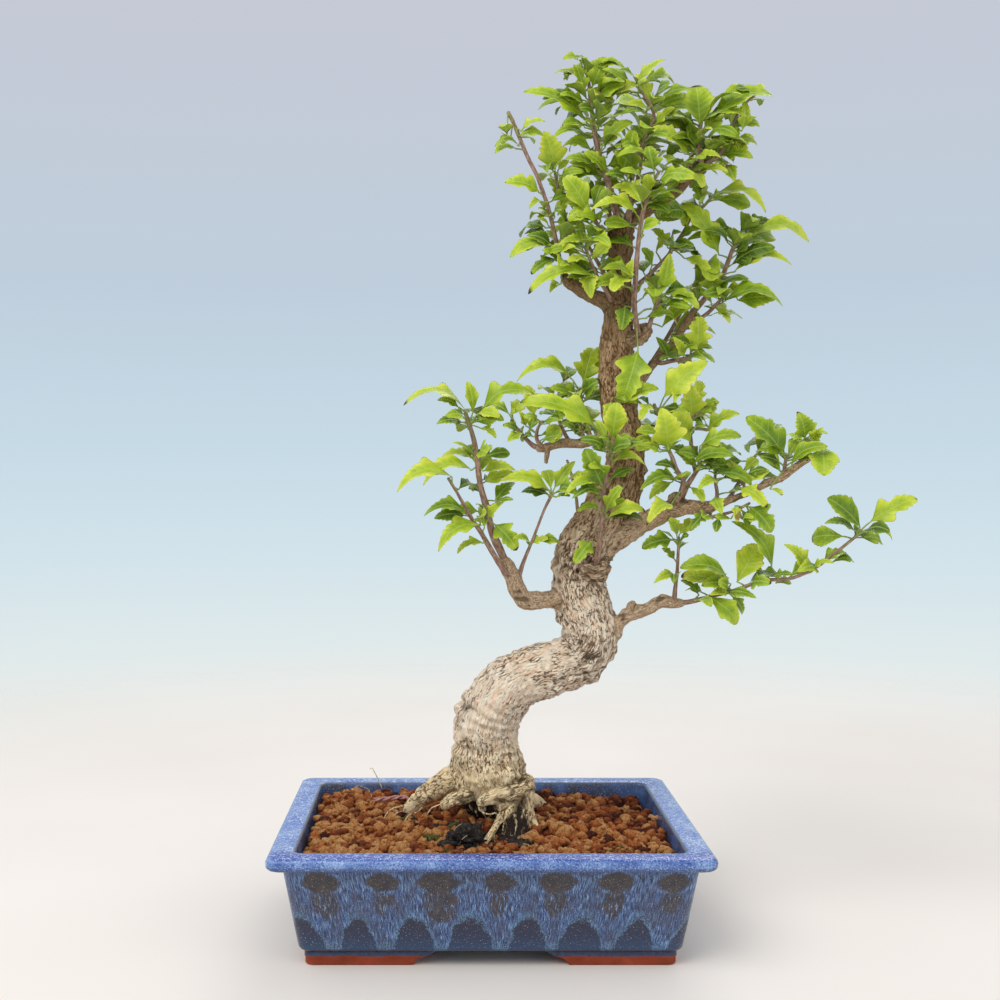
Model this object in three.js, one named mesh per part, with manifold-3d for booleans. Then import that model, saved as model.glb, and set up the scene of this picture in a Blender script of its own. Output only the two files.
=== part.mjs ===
// Rose of sharon bonsai in a glazed rectangular pot, in millimetres, +Z up, the pot's front towards -Y.
// The tree's rows were measured in one level view of the front: a column and a row of that view, a depth
// behind the pot's middle in millimetres, and a radius in millimetres.
import * as THREE from 'three';
import Module from 'manifold-3d';

const wasm = await Module();
wasm.setup();

// Driving dimensions
const potWidth = 260;
const potDepth = 194;
const potHeight = 68;
const cornerSteps = 2;
const floorTop = 16;
const floorUnderside = 9;
const footInset = 21;
const footBand = 13;
const plinthDrop = 4.6;
const sideGapShare = 0.55;
const drainX = 60;
const drainRadius = 9;
const screenSide = 34;
const screenThickness = 1.2;
const screenOpening = 8;
const soilLevel = 61;
const soilPitch = 15;
const touchGap = 0.35;
const petioleRadius = 0.75;
const bladeThickness = 1.5;

// The measured view: its eye point, its focal length in columns, and the column and row it looks along
const eye = new THREE.Vector3(-25.6, -801.6, 288.8);
const focal = 1240;
const middleColumn = 447;
const levelRow = 472;

// The pot's outer skin from its underside to the lip, then its inner skin down: height, inset, corner radius
const potProfile = [
  [floorUnderside, footInset - 0.8, 6.3], [9.6, 18, 7.5], [12.5, 16.8, 8], [36, 12.7, 7.5],
  [56.5, 9.2, 7], [59.2, 8, 7], [60, 4.6, 7], [60.9, 1.3, 7], [62.6, 0.2, 7], [65, 0, 7],
  [67.1, 1.1, 7], [potHeight, 3.4, 7], [potHeight, 12.6, 6], [67.3, 15.2, 6], [65.2, 16.1, 6],
  [60, 16.6, 6], [22, 22, 7], [floorTop, 26, 7],
];

// The tree's wood: each limb from inside what it grows from to its end
const woodLimbs = {
  trunk: [
    [496, 862, 8, 13], [496, 835, 8, 15], [494, 812, 4, 18], [491, 793, 0, 23], [488, 770, -1, 23.5],
    [485, 745, -3, 20], [487, 722, -4, 20.5], [495, 703, -5, 20], [510, 686, -6, 19],
    [532, 674, -6, 17.5], [556, 667, -4, 16.2], [576, 659, -1, 17], [588, 645, 1, 17.5],
    [590, 628, 3, 18], [585, 610, 4, 18], [579, 592, 4, 17.5], [577, 575, 4, 17], [581, 558, 3, 18.2],
    [590, 540, 2, 17.5], [601, 522, 1, 16.8], [611, 505, 0, 15.5], [619, 488, -1, 14.2],
    [625, 470, -1, 13], [626, 452, 0, 12], [623, 432, 1, 11.3], [619, 412, 2, 11], [617, 390, 2, 11.3],
    [617, 368, 2, 11.6], [617, 345, 1, 10.3], [618, 322, 0, 9.4], [619, 300, 0, 9], [619, 275, 0, 8],
    [620, 255, 0, 7.8], [620, 238, 0, 9.2], [621, 222, 0, 7],
  ],
  rootLeft: [
    [470, 776, -2, 10], [450, 781, 3, 8], [433, 790, 10, 7], [417, 802, 17, 5.6], [404, 817, 22, 4],
  ],
  rootPeeled: [[486, 786, -8, 5], [468, 795, -13, 4.6], [452, 800, -15, 3.6], [442, 806, -15, 2.4]],
  rootCross: [
    [524, 786, -8, 6], [512, 793, -17, 5], [497, 797, -20, 3.6], [485, 801, -21, 2.6],
    [477, 806, -21, 1.8],
  ],
  rootStub: [[520, 796, -14, 3.4], [508, 802, -21, 2.8], [497, 809, -23, 2]],
  rootCut: [[514, 800, -15, 2.6], [509, 812, -24, 2.6], [507, 820, -26, 2.3]],
  rootThin: [[508, 804, -12, 2.2], [500, 819, -27, 2.1], [489, 837, -44, 1.9], [477, 853, -56, 1.6]],
  rootRight: [
    [522, 780, -4, 8], [526, 800, -10, 5.5], [527, 818, -15, 4], [526, 836, -20, 3],
    [527, 850, -22, 2.4],
  ],
  rootRightThin: [[528, 800, -8, 2.6], [532, 815, -14, 2], [537, 829, -20, 1.7], [541, 842, -24, 1.3]],
  rootPad: [[512, 800, -6, 8], [513, 822, -20, 9], [514, 842, -34, 8], [515, 862, -42, 5]],
  rootBackRight: [[505, 785, 8, 10], [522, 797, 26, 6.5], [540, 806, 42, 4.4], [554, 816, 52, 3]],
  rootBackLeft: [[480, 785, 10, 10], [466, 792, 30, 6.5], [455, 800, 46, 4.5], [446, 812, 58, 3]],
  limbLeft: [
    [584, 601, 4, 8], [566, 599, 0, 6.8], [551, 599, -4, 5.6], [540, 600, -7, 5.7], [526, 600, -10, 6.1],
    [518, 592, -12, 5.6], [514, 580, -13, 5.2], [508, 568, -14, 4.4], [504, 560, -15, 3.6],
  ],
  limbMidLeft: [
    [612, 437, 4, 5], [597, 440, 9, 3.7], [588, 441.5, 12, 3.4], [579, 444, 14, 3.3], [561, 443, 18, 3.1],
    [544, 448, 22, 2.9], [537, 449, 24, 2.7],
  ],
  stubMidLeft: [[548, 447, 21, 2], [547, 455, 20, 1.7], [546, 463, 20, 1.3]],
  limbRight: [
    [594, 553, 0, 9], [606, 546, -5, 7.6], [616, 540, -8, 7], [630, 530, -11, 6.9], [645, 522, -13, 6.5],
    [660, 514, -15, 5.9], [675, 509, -16, 5.5], [690, 507, -18, 4.6], [705, 508, -19, 3.9],
    [716, 505, -20, 3.1], [728, 501, -20, 2.7], [740, 496, -20, 2.5], [754, 490, -21, 2.4],
    [767, 483, -21, 2.6], [779, 479, -22, 2.4], [788, 473, -22, 2.3], [801, 463, -23, 2.2],
    [814, 455, -24, 2.1], [825, 449, -25, 2],
  ],
  callusRight: [[672, 508, -15, 3], [676, 501, -17, 4.6], [680, 495, -18, 3.4]],
  limbLow: [
    [604, 643, 1, 7], [613, 633, -2, 5.4], [618, 624, -4, 4.6], [627, 615, -6, 4.4], [638, 611, -7, 4.2],
    [649, 608, -8, 4], [662, 601, -9, 4.2], [674, 603, -10, 3.6], [684, 602, -11, 2.2],
  ],
  knobLow: [[630, 614, -6, 2.6], [631, 606, -7, 2.9], [634, 602, -7, 1.6]],
  knobTrunk: [[632, 476, -2, 5], [641, 471, -5, 4.6], [646, 468, -6, 2.8]],
  burr: [[583, 566, -8, 7], [594, 570, -9, 8], [606, 568, -6, 6]],
  barePaleTwig: [
    [583, 530, 0, 2], [578, 513, -4, 1.2], [576, 496, -5, 1], [573, 481, -6, 1], [567, 460, -7, 0.8],
  ],
  limbUpper: [
    [624, 396, 3, 4.6], [634, 387, 5, 3.8], [641, 380, 6, 3.3], [655, 361, 9, 2.9], [666, 350, 11, 2.7],
    [676, 339, 13, 2.6], [686, 322, 15, 2.4], [697, 307, 17, 2.2],
  ],
  knobUpper: [[622, 343, -2, 6], [636, 337, -5, 5], [643, 333, -7, 5.2], [649, 328, -9, 3.4]],
  limbHigh: [
    [614, 304, 0, 7], [603, 300, -2, 5.6], [590, 295, -4, 4.6], [578, 288, -5, 4.4], [569, 282, -6, 3.9],
    [563, 275, -7, 3],
  ],
  limbCrown: [
    [621, 236, 0, 6], [634, 219, 0, 4.6], [652, 207, 2, 4], [673, 194, 4, 3.6], [687, 180, 5, 3.3],
    [694, 171, 5, 5], [701, 166, 5, 4.6], [706, 162, 5, 2.4],
  ],
};

// The leafy shoots: stem rows as above, and a leaf a row: the blade's base and tip in the view, how far the
// tip lies behind its base, the arch and the face's turn from the sky to the front in degrees, the width as
// a share of the length, each of the last three left out where it is the usual one
const usualLeaf = { arch: 0.14, turn: 50, wide: 0.58 };
const shoots = {
  shoot_left_upright: {
    stem: [
      [507, 566, -14, 3.2], [500, 550, -15, 3.1], [492, 532, -16, 2.9], [487, 509, -18, 2.6],
      [482.5, 494, -19, 2.4], [479, 477, -20, 2.1], [477, 456, -21, 2], [473, 437, -22, 1.8],
      [465.5, 413, -24, 1.5],
    ],
    leaves: [
      [466, 411, 403.5, 404, -6, 0.3, 25, 0.46], [473, 412, 468, 382, -8, 0.08, 60, 0.45],
      [481, 413, 534, 394, -4, 0.32, 45, 0.5], [478, 414, 499, 416, -12], [480, 428, 496, 437, -10],
      [464, 414, 450, 413, 8], [479, 473, 486, 450, 9, 0.1, 70, 0.8], [483, 471, 515, 469, -5, 0.2],
      [483, 483, 516, 474, 6], [488, 518, 503, 502, -10], [483, 525, 480, 506, 10, 0.1, 60, 0.4],
      [495, 501, 515, 482, 12], [494, 524, 517, 550, -12, 0.16, 62, 0.68],
      [472, 458, 441, 457, 8, 0.22, 35], [472, 470, 423, 484, -8, 0.34, 38, 0.5],
      [471, 452, 453, 442, -9, 0.1, 40, 0.42],
    ],
  },
  shoot_left_outer: {
    stem: [
      [512, 577, -15, 2.2], [505, 572, -19, 2.1], [494, 555, -24, 2], [487, 543, -26, 1.9],
      [480, 531, -28, 1.7], [473, 521, -29, 1.5], [464, 505, -31, 1.3], [456, 491, -32, 1.1],
      [448, 478, -33, 1],
    ],
    leaves: [
      [452, 477, 397, 492, -6, 0.34, 40, 0.46], [467, 514, 424, 515, -5, 0.3, 38, 0.5],
      [481, 525, 438, 551, -8, 0.28, 42, 0.5], [484, 543, 457, 552, -6, 0.24, 38, 0.5],
    ],
  },
  shoot_left_inner: {
    stem: [
      [517, 586, -13, 2], [521, 569, -16, 1.6], [527, 553, -18, 1.3], [533, 539, -20, 1.1],
      [539, 523, -22, 1], [545, 508, -23, 1], [549, 500, -24, 1.2], [553, 493, -24, 1.1],
    ],
    leaves: [
      [549, 490, 500, 480, -6, 0.2, 45, 0.5], [554, 489, 575, 461, 6, 0.12, 55, 0.42],
      [551, 489, 546, 470, 9], [556, 497, 570, 496, -10], [530, 543, 513, 538, -9], [532, 543, 549, 538, -7],
    ],
  },
  twig_mid_left: {
    stem: [
      [541, 448, 23, 2.4], [534, 446, 25, 2], [526, 439, 27, 1.8], [519, 431, 28, 1.5], [511, 421, 29, 1.2],
    ],
    leaves: [
      [509, 414, 493, 404, 6], [523, 433, 508, 441, -8], [518, 430, 503, 425, -8], [512, 415, 521, 400, 10],
    ],
  },
  spur_mid_left: {
    stem: [[545, 449, 21, 1.8], [537, 440, 18, 1.5], [538, 428, 15, 1.2], [543, 421, 13, 1]],
    leaves: [
      [526, 426, 519, 411, -6, 0.1, 60, 0.6], [530, 430, 535, 414, 8],
      [545, 440, 561, 427, -9, 0.1, 70, 0.85],
      [545, 424, 561, 420, -8], [549, 419, 577, 415, 6], [534, 416, 527, 384, 12, 0.12, 60, 0.6],
    ],
  },
  spur_mid_left_top: {
    stem: [[583, 446, 14, 1.8], [583, 435, 13, 1.3], [580, 428, 12, 1.1]],
    leaves: [[576, 434, 562, 424, -8], [579, 426, 570, 405, 9], [583, 427, 594, 408, 8]],
  },
  twig_behind_trunk: {
    stem: [
      [592, 443, 11, 2], [590, 434, 14, 1.4], [584, 419, 16, 1.2], [582, 403, 17, 1.2], [580, 388, 18, 1],
    ],
    leaves: [
      [572, 379, 517, 378, -5, 0.28, 38, 0.5], [583, 383, 593, 347, 8, 0.1, 65, 0.72],
      [584, 380, 603, 345, 14, 0.1, 55, 0.4], [577, 397, 551, 387, -10, 0.12, 55, 0.62],
      [585, 399, 600, 386, 12], [578, 390, 556, 402, 10],
    ],
  },
  shoot_front: {
    stem: [
      [596, 566, -12, 2.2], [598, 553, -19, 2], [600, 538, -22, 1.9], [602, 520, -24, 1.8],
      [603, 500, -26, 1.7], [605, 480, -27, 1.5], [609, 461, -28, 1.4], [612, 444, -29, 1.1],
    ],
    leaves: [
      [598, 430, 520, 402, -4, 0.2, 48, 0.4], [612, 439, 617, 403, -10, 0.08, 75, 0.7],
      [607, 441, 596, 420, 8, 0.1, 60, 0.45], [613, 445, 630, 436, -8],
      [602, 485, 585, 449, -8, 0.1, 70, 0.72],
      [600, 483, 566, 481, 6, 0.26, 40, 0.5], [597, 487, 565, 494, -8, 0.26, 42, 0.5],
      [613, 462, 645, 464, -6, 0.3, 45, 0.5], [606, 511, 622, 485, -8, 0.1, 60, 0.55],
      [601, 513, 578, 510, -8, 0.24, 45, 0.5], [608, 518, 645, 510, -6, 0.26, 45, 0.5],
      [592, 541, 574, 563, -10, 0.12, 60, 0.6],
    ],
  },
  spur_callus: {
    stem: [
      [679, 500, -17, 2.2], [683, 480, -25, 1.7], [677, 470, -25, 1.6], [672, 457, -25, 1.5],
      [667, 446, -26, 1.3],
    ],
    leaves: [
      [668, 448, 662, 408, -8, 0.1, 70, 0.95], [661, 435, 636, 431, -8, 0.12, 50, 0.6],
      [661, 450, 636, 437, 8], [660, 452, 638, 446, -9], [675, 478, 640, 490, -8, 0.26, 45, 0.5],
      [672, 482, 649, 499, 6], [671, 505, 647, 523, -20, 0.26, 50, 0.55],
    ],
  },
  spur_mid_right: {
    stem: [[682, 497, -17, 2.2], [688, 484, -17, 1.9], [694, 475, -16, 1.8], [702, 462, -15, 1.6]],
    leaves: [
      [700, 446, 741, 435, -6, 0.2, 50, 0.55], [699, 452, 723, 444, 8],
      [692, 465, 733, 455, -12, 0.24, 45, 0.5],
      [710, 456, 740, 455, 10, 0.2, 45, 0.5], [690, 487, 704, 501, -12],
      [697, 466, 676, 452, -8, 0.1, 60, 0.6],
    ],
  },
  twig_cut_right: {
    stem: [
      [696, 473, -13, 1.7], [692, 458, -9, 1.4], [691, 442, -7, 1.4], [690, 420, -5, 1.3],
      [696, 414, -5, 1.3], [697, 401, -5, 1.2],
    ],
    leaves: [
      [692, 417, 690, 384, -8, 0.08, 70, 0.9], [697, 416, 719, 400, 7],
      [707, 431, 739, 413, -6, 0.2, 45, 0.55],
      [686, 415, 662, 408, 8], [690, 442, 668, 413, -10, 0.1, 68, 0.85], [696, 405, 700, 380, 10],
    ],
  },
  twig_cut_left: {
    stem: [[668, 448, -25.5, 1.5], [664, 436, -20, 1.4], [661, 423, -16, 1.3], [654, 404, -15, 1.1]],
    leaves: [
      [664, 397, 707, 360, -8, 0.12, 55, 0.62], [676, 391, 674, 403, -10], [650, 404, 640, 420, -12],
    ],
  },
  twig_under_right: {
    stem: [
      [693, 509, -18, 1.8], [700, 515, -22, 1.4], [709, 517, -24, 1.3], [720, 515, -25, 1.2],
      [734, 511, -27, 1.1], [750, 503, -28, 1],
    ],
    leaves: [
      [748, 506, 772, 532, -8, 0.12, 62, 0.85], [735, 506, 737, 522, -8], [741, 509, 747, 528, 6],
      [719, 518, 716, 532, -7], [706, 514, 690, 530, 8],
    ],
  },
  spur_over_right: {
    stem: [[716, 506, -19, 1.8], [717, 492, -18, 1.3], [715, 480, -17, 1.1], [716, 468, -17, 1]],
    leaves: [
      [718, 481, 698, 489, -9, 0.2, 50, 0.6], [715, 474, 752, 483, -9, 0.22, 50, 0.55],
      [715, 497, 722, 514, -9, 0.1, 60, 0.6], [718, 470, 741, 470, 8, 0.2, 45, 0.55],
      [713, 468, 702, 452, 9],
    ],
  },
  spur_end_left: {
    stem: [[744, 495, -20, 1.7], [744, 486, -20, 1.2], [742, 476, -20, 1]],
    leaves: [
      [746, 483, 769, 470, -8, 0.16, 50, 0.55], [739, 488, 767, 507, -9, 0.2, 50, 0.55],
      [741, 477, 726, 463, 8], [744, 472, 757, 458, 9],
    ],
  },
  shoot_right_end: {
    stem: [[784, 477, -22, 1.8], [785, 464, -23, 1.3], [787, 455, -24, 1.1]],
    leaves: [
      [785, 457, 746, 417, -8, 0.12, 60, 0.6], [791, 467, 827, 446, -9, 0.26, 45, 0.5],
      [781, 472, 755, 454, 7, 0.16, 45, 0.5], [770, 489, 782, 495, -9], [788, 456, 800, 438, 9],
    ],
  },
  shoot_right_tip: {
    stem: [[819, 453, -24, 1.6], [812, 444, -25, 1.2], [806, 438, -26, 1]],
    leaves: [
      [805, 437, 798, 412, -8, 0.1, 68, 0.95], [811, 440, 823, 428, -9, 0.1, 65, 0.8],
      [824, 447, 824, 474, -8, 0.1, 68, 0.78], [803, 441, 786, 434, 8],
    ],
  },
  shoot_low_right: {
    stem: [
      [681, 602.5, -10, 2], [688, 602, -12, 1.8], [701, 599, -14, 1.7], [718, 594.5, -16, 1.6],
      [736, 590, -18, 1.5], [755, 583, -20, 1.4], [770, 580, -21, 1.4], [788, 579, -23, 1.3],
      [803, 574, -24, 1.2], [818, 566, -25, 1.2], [834, 554, -26, 1.2], [849, 542, -27, 1.1],
      [863, 531, -28, 1],
    ],
    leaves: [
      [860, 527, 828, 498, -6, 0.1, 62, 0.62], [869, 523, 917, 497, -6, 0.1, 50, 0.5],
      [868, 529, 893, 539, -8, 0.26, 45, 0.5], [807, 569, 786, 544, -8, 0.1, 60, 0.6],
      [813, 569, 833, 562, -8, 0.28, 45, 0.5], [832, 562, 854, 561, 6, 0.2, 40, 0.5],
      [772, 568, 732, 521, -4, 0.2, 45, 0.42], [737, 582, 758, 544, 6, 0.1, 60, 0.66],
      [728, 580, 680, 568, -6, 0.26, 42, 0.5], [731, 584, 681, 576, 8, 0.1, 45, 0.5],
      [728, 592, 710, 595, -9], [708, 597, 738, 623, -8, 0.2, 55, 0.62], [732, 596, 743, 615, 6],
      [774, 576, 792, 574, -8], [776, 583, 792, 582, 8], [699, 595, 681, 580, 6, 0.16, 45, 0.55],
    ],
  },
  twig_low_upright: {
    stem: [
      [674, 603, -10, 2.2], [675, 590, -11, 1.6], [677, 573, -13, 1.3], [678, 555, -14, 1.2],
      [679, 537, -15, 1],
    ],
    leaves: [
      [677, 536, 668, 518, -6], [679, 535, 691, 518, 6], [673, 540, 642, 548, -8, 0.2, 55, 0.66],
      [675, 560, 662, 548, 7], [676, 577, 654, 583, -8, 0.26, 50, 0.6],
    ],
  },
  shoot_upper_outer: {
    stem: [
      [694, 311, 16, 2.4], [701, 303, 18, 2.1], [709, 293.5, 19, 2], [719.5, 283, 20, 1.9],
      [726, 267, 21, 1.8], [732, 251, 22, 1.6], [737, 241, 22, 1.5], [739, 232, 22, 1.4],
    ],
    leaves: [
      [747, 240, 809, 242, -8, 0.32, 42, 0.5], [742, 234, 752, 221, 8],
      [734, 272, 792, 265, -8, 0.26, 42, 0.5],
      [719, 255, 684, 202, -8, 0.1, 55, 0.5], [711, 293, 712, 264, -10, 0.08, 65, 0.95],
      [735, 243, 722, 226, 9], [733, 252, 748, 254, 8],
    ],
  },
  spur_upper_cut: {
    stem: [
      [692, 318, 15, 1.8], [700, 318, 14, 1.5], [709, 312, 14, 1.4], [719.5, 301, 14, 1.3],
      [731, 290, 14, 1.2],
    ],
    leaves: [
      [722, 303, 783, 306, -8, 0.28, 42, 0.48], [724, 292, 751, 290, 8], [712, 306, 699, 290, -9],
      [717, 309, 730, 322, -9],
    ],
  },
  spur_upper_lower: {
    stem: [
      [655, 361, 9, 2.2], [662, 363, 3, 1.7], [671, 361, 0, 1.6], [680, 359.5, -2, 1.5],
      [690, 357, -4, 1.5], [698, 352, -5, 1.4],
    ],
    leaves: [
      [697, 347, 699, 316, -6, 0.08, 66, 0.9], [698, 349, 713, 348, 6],
      [684, 357, 673, 337, -8, 0.1, 60, 0.6],
      [668, 356, 656, 337, 8, 0.1, 60, 0.6], [690, 354, 704, 334, 9],
    ],
  },
  twig_knob_upper: {
    stem: [[648, 330, -8, 2], [652, 317, -11, 1.6], [656, 306, -12, 1.4], [661, 296, -12, 1.2]],
    leaves: [
      [662, 292, 670, 253, -6, 0.06, 70, 0.55], [667, 294, 699, 308, -7, 0.2, 50, 0.55],
      [662, 327, 691, 304, 6, 0.14, 50, 0.5], [658, 296, 644, 280, 8],
    ],
  },
  shoot_trunk_front: {
    stem: [
      [638, 334, -9, 2.4], [635, 316, -14, 2.1], [634, 302, -15, 2.1], [635, 286, -16, 2],
      [636.5, 263, -18, 1.8], [639, 237, -20, 1.7], [643, 212, -22, 1.6], [647, 199, -22, 1.5],
      [651, 186, -23, 1.3], [659, 172, -23, 1.1],
    ],
    leaves: [
      [654, 171, 648, 146, -5, 0.1, 65, 0.9], [658, 190, 701, 179, -6, 0.2, 48, 0.5],
      [649, 191, 647, 174, -10, 0.1, 60, 0.8], [638, 216, 591, 208, -6, 0.24, 45, 0.52],
      [625, 306, 621, 331, -5, 0.1, 70, 0.8], [624, 281, 633, 259, -6, 0.1, 60, 0.6],
      [626, 277, 611, 292, -5, 0.12, 60, 0.6], [642, 230, 660, 222, -8],
      [638, 350, 622, 402, -5, 0.1, 68, 0.66],
    ],
  },
  leaf_trunk_low: {
    stem: [[613, 413, -7, 1.6], [613, 407, -13, 1.2], [617, 403, -15, 1]],
    leaves: [[619, 402, 658, 387, -6, 0.16, 55, 0.55], [611, 402, 604, 420, -6]],
  },
  shoot_high_left: {
    stem: [
      [565, 279, -6, 2.8], [560, 262, -8, 1.9], [557, 246, -9, 1.7], [552, 223, -10, 1.6],
      [547, 204, -11, 1.6], [542, 190, -12, 1.5], [537, 176, -13, 1.5], [528, 158, -14, 1.5],
      [522, 144, -15, 1.4], [518, 134, -15, 1.4], [513, 122, -16, 1.4], [508, 112, -16, 1.3],
    ],
    leaves: [
      [521, 131, 545, 121, -6, 0.2, 45, 0.5], [519, 146, 495, 145, -6, 0.26, 45, 0.5],
      [540, 193, 505, 182, -6, 0.2, 60, 0.62], [547, 213, 538, 208, -8], [549, 226, 537, 219, -8],
      [553, 238, 544, 231, 7], [556, 247, 510, 255, -5, 0.2, 48, 0.46],
      [557, 259, 531, 274, -6, 0.16, 50, 0.55],
      [558, 258, 575, 246, -6, 0.14, 60, 0.6], [561, 284, 550, 291, -6],
    ],
  },
  twig_high_left: {
    stem: [
      [580, 290, -3, 2], [574, 268, 1, 1.6], [568, 240, 3, 1.4], [564, 212, 3, 1.4],
      [559, 194, 2, 1.3], [555, 174, 1, 1.1],
    ],
    leaves: [
      [555, 170, 544, 131, -5, 0.08, 68, 0.8], [558, 170, 570, 160, 6],
      [558, 215, 569, 190, -5, 0.1, 60, 0.45],
      [562, 200, 548, 178, 8, 0.1, 60, 0.5], [570, 236, 584, 214, 8], [566, 226, 552, 236, 9],
    ],
  },
  shoot_inner_left: {
    stem: [
      [614, 306, -3, 2], [606, 291, -12, 1.5], [598, 278, -15, 1.4], [590.5, 261, -17, 1.3],
      [585, 247, -18, 1.1],
    ],
    leaves: [
      [596, 278, 528, 292, -5, 0.26, 45, 0.4], [589, 260, 566, 262, -6],
      [591, 260, 610, 243, -6, 0.1, 55, 0.55],
      [588, 272, 591, 298, -9, 0.1, 65, 0.7], [586, 243, 558, 245, -6, 0.2, 48, 0.55],
      [583, 245, 577, 228, 6],
    ],
  },
  shoot_inner_high: {
    stem: [[616, 246, -2, 2.2], [605, 236, -9, 1.5], [598, 225, -12, 1.3], [592, 213, -13, 1]],
    leaves: [
      [588, 213, 565, 176, -6, 0.1, 62, 0.62], [600, 219, 566, 221, -7, 0.2, 52, 0.55],
      [594, 208, 601, 184, 6], [604, 231, 588, 236, -8],
    ],
  },
  shoot_leader: {
    stem: [
      [620, 226, 0, 3.4], [615, 208, -1, 2.8], [610, 189, -2, 2.5], [603, 168, -3, 2.2], [596, 141, -4, 1.9],
      [593, 122, -4, 1.6], [590, 98, -5, 1.4], [588.5, 79, -5, 1.2], [586.6, 66, -6, 1],
    ],
    leaves: [
      [588, 124, 524, 91, -4, 0.16, 48, 0.36], [583, 105, 538, 107, 6, 0.14, 45, 0.4],
      [585, 107, 560, 94, -10], [584, 93, 575, 64, -6, 0.1, 60, 0.6], [592, 87, 604, 57, -6, 0.1, 66, 0.85],
      [597, 107, 637, 83, -7, 0.14, 50, 0.5], [595, 107, 598, 88, 9], [586, 128, 563, 125, -8],
      [597, 130, 586, 120, -10], [590, 70, 597, 60, 6], [587, 66, 583, 56, -4],
      [597, 168, 566, 158, -7, 0.14, 55, 0.55], [600, 174, 575, 163, 6],
      [607, 173, 584, 152, -12, 0.1, 60, 0.6],
      [602, 147, 632, 121, -8, 0.12, 55, 0.6], [601, 138, 578, 140, 10], [598, 120, 613, 103, 10],
    ],
  },
  shoot_crown_mid: {
    stem: [
      [628, 226, -2, 2.6], [630, 205, -8, 1.9], [631, 185, -10, 1.7], [637, 160, -10, 1.5],
      [646, 136, -10, 1.3],
      [654, 116, -10, 1.2], [645, 97, -11, 1], [638, 85, -11, 0.9],
    ],
    leaves: [
      [630, 83, 603, 68, -5, 0.1, 55, 0.5], [637, 81, 665, 58, -6, 0.1, 50, 0.36],
      [650, 101, 636, 73, 7, 0.1, 60, 0.5],
      [660, 101, 692, 90, -6, 0.2, 48, 0.5], [656, 125, 674, 107, -8], [650, 128, 668, 118, 9, 0.1, 60, 0.7],
      [622, 174, 634, 129, -6, 0.08, 66, 0.62], [627, 178, 643, 168, -9],
      [626, 182, 640, 201, -9, 0.1, 62, 0.7],
      [645, 142, 630, 125, 8], [630, 190, 612, 187, -9, 0.1, 60, 0.65],
      [641, 150, 622, 146, -8, 0.12, 60, 0.6],
      [649, 110, 628, 103, -9, 0.12, 55, 0.55],
    ],
  },
  shoot_crown_right: {
    stem: [[701, 168, 4, 3], [700, 156, 1, 2], [698, 142, -1, 1.8], [701, 122, -2, 1.5]],
    leaves: [
      [700, 125, 696, 85, -6, 0.08, 66, 0.85], [708, 126, 772, 93, -5, 0.2, 46, 0.46],
      [690, 156, 652, 128, -8, 0.1, 58, 0.56], [693, 150, 689, 124, -10, 0.08, 66, 0.9],
      [704, 150, 722, 140, -10], [695, 134, 678, 118, 8], [704, 132, 724, 112, 8, 0.1, 55, 0.6],
      [697, 139, 712, 128, -12],
    ],
  },
  shoot_crown_far: {
    stem: [
      [705, 165, 5, 2.4], [714, 159, 4, 1.7], [721, 152, 3, 1.5], [727, 138, 1, 1.3], [733, 122, 0, 1.2],
      [744, 105, -1, 1.1], [756, 94, -2, 0.9],
    ],
    leaves: [
      [742, 131, 745, 101, -7, 0.08, 62, 0.5], [727, 156, 738, 127, -7, 0.1, 62, 0.62],
      [731, 156, 753, 134, 6, 0.1, 55, 0.55],
      [726, 164, 735, 181, -6, 0.1, 60, 0.8], [757, 92, 764, 84, 5], [735, 118, 721, 98, 8],
      [738, 122, 754, 116, 8], [714, 166, 726, 173, -10], [723, 146, 709, 136, -9],
    ],
  },
  shoot_crown_low: {
    stem: [[686, 182, 4, 2.6], [682, 176, -3, 1.7], [683, 168, -8, 1.4], [690, 162, -11, 1.1]],
    leaves: [
      [679, 171, 664, 155, -6, 0.1, 55, 0.6], [697, 158, 721, 157, -8, 0.2, 52, 0.6],
      [697, 176, 728, 171, -6, 0.2, 50, 0.5],
      [684, 178, 668, 190, -7, 0.12, 60, 0.6], [690, 172, 704, 188, -7, 0.12, 60, 0.6],
    ],
  },
  twig_behind_right: {
    stem: [
      [628, 292, 4, 2.4], [643, 280, 11, 1.6], [655, 269, 14, 1.5], [668, 255, 16, 1.4], [676, 243, 17, 1.3],
      [684, 231, 18, 1.3], [691, 218, 19, 1.2], [699, 211, 19, 1.1], [708, 202, 20, 1],
    ],
    leaves: [
      [711, 197, 766, 213, -8, 0.3, 45, 0.48], [684, 242, 718, 245, -6, 0.24, 45, 0.52],
      [687, 207, 684, 226, -8], [656, 252, 667, 240, -8], [652, 266, 642, 248, -6, 0.1, 60, 0.6],
      [684, 258, 712, 274, -7, 0.14, 52, 0.56], [703, 204, 694, 184, 8, 0.1, 60, 0.6],
      [668, 248, 652, 228, 8, 0.1, 60, 0.6],
    ],
  },
};

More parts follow.
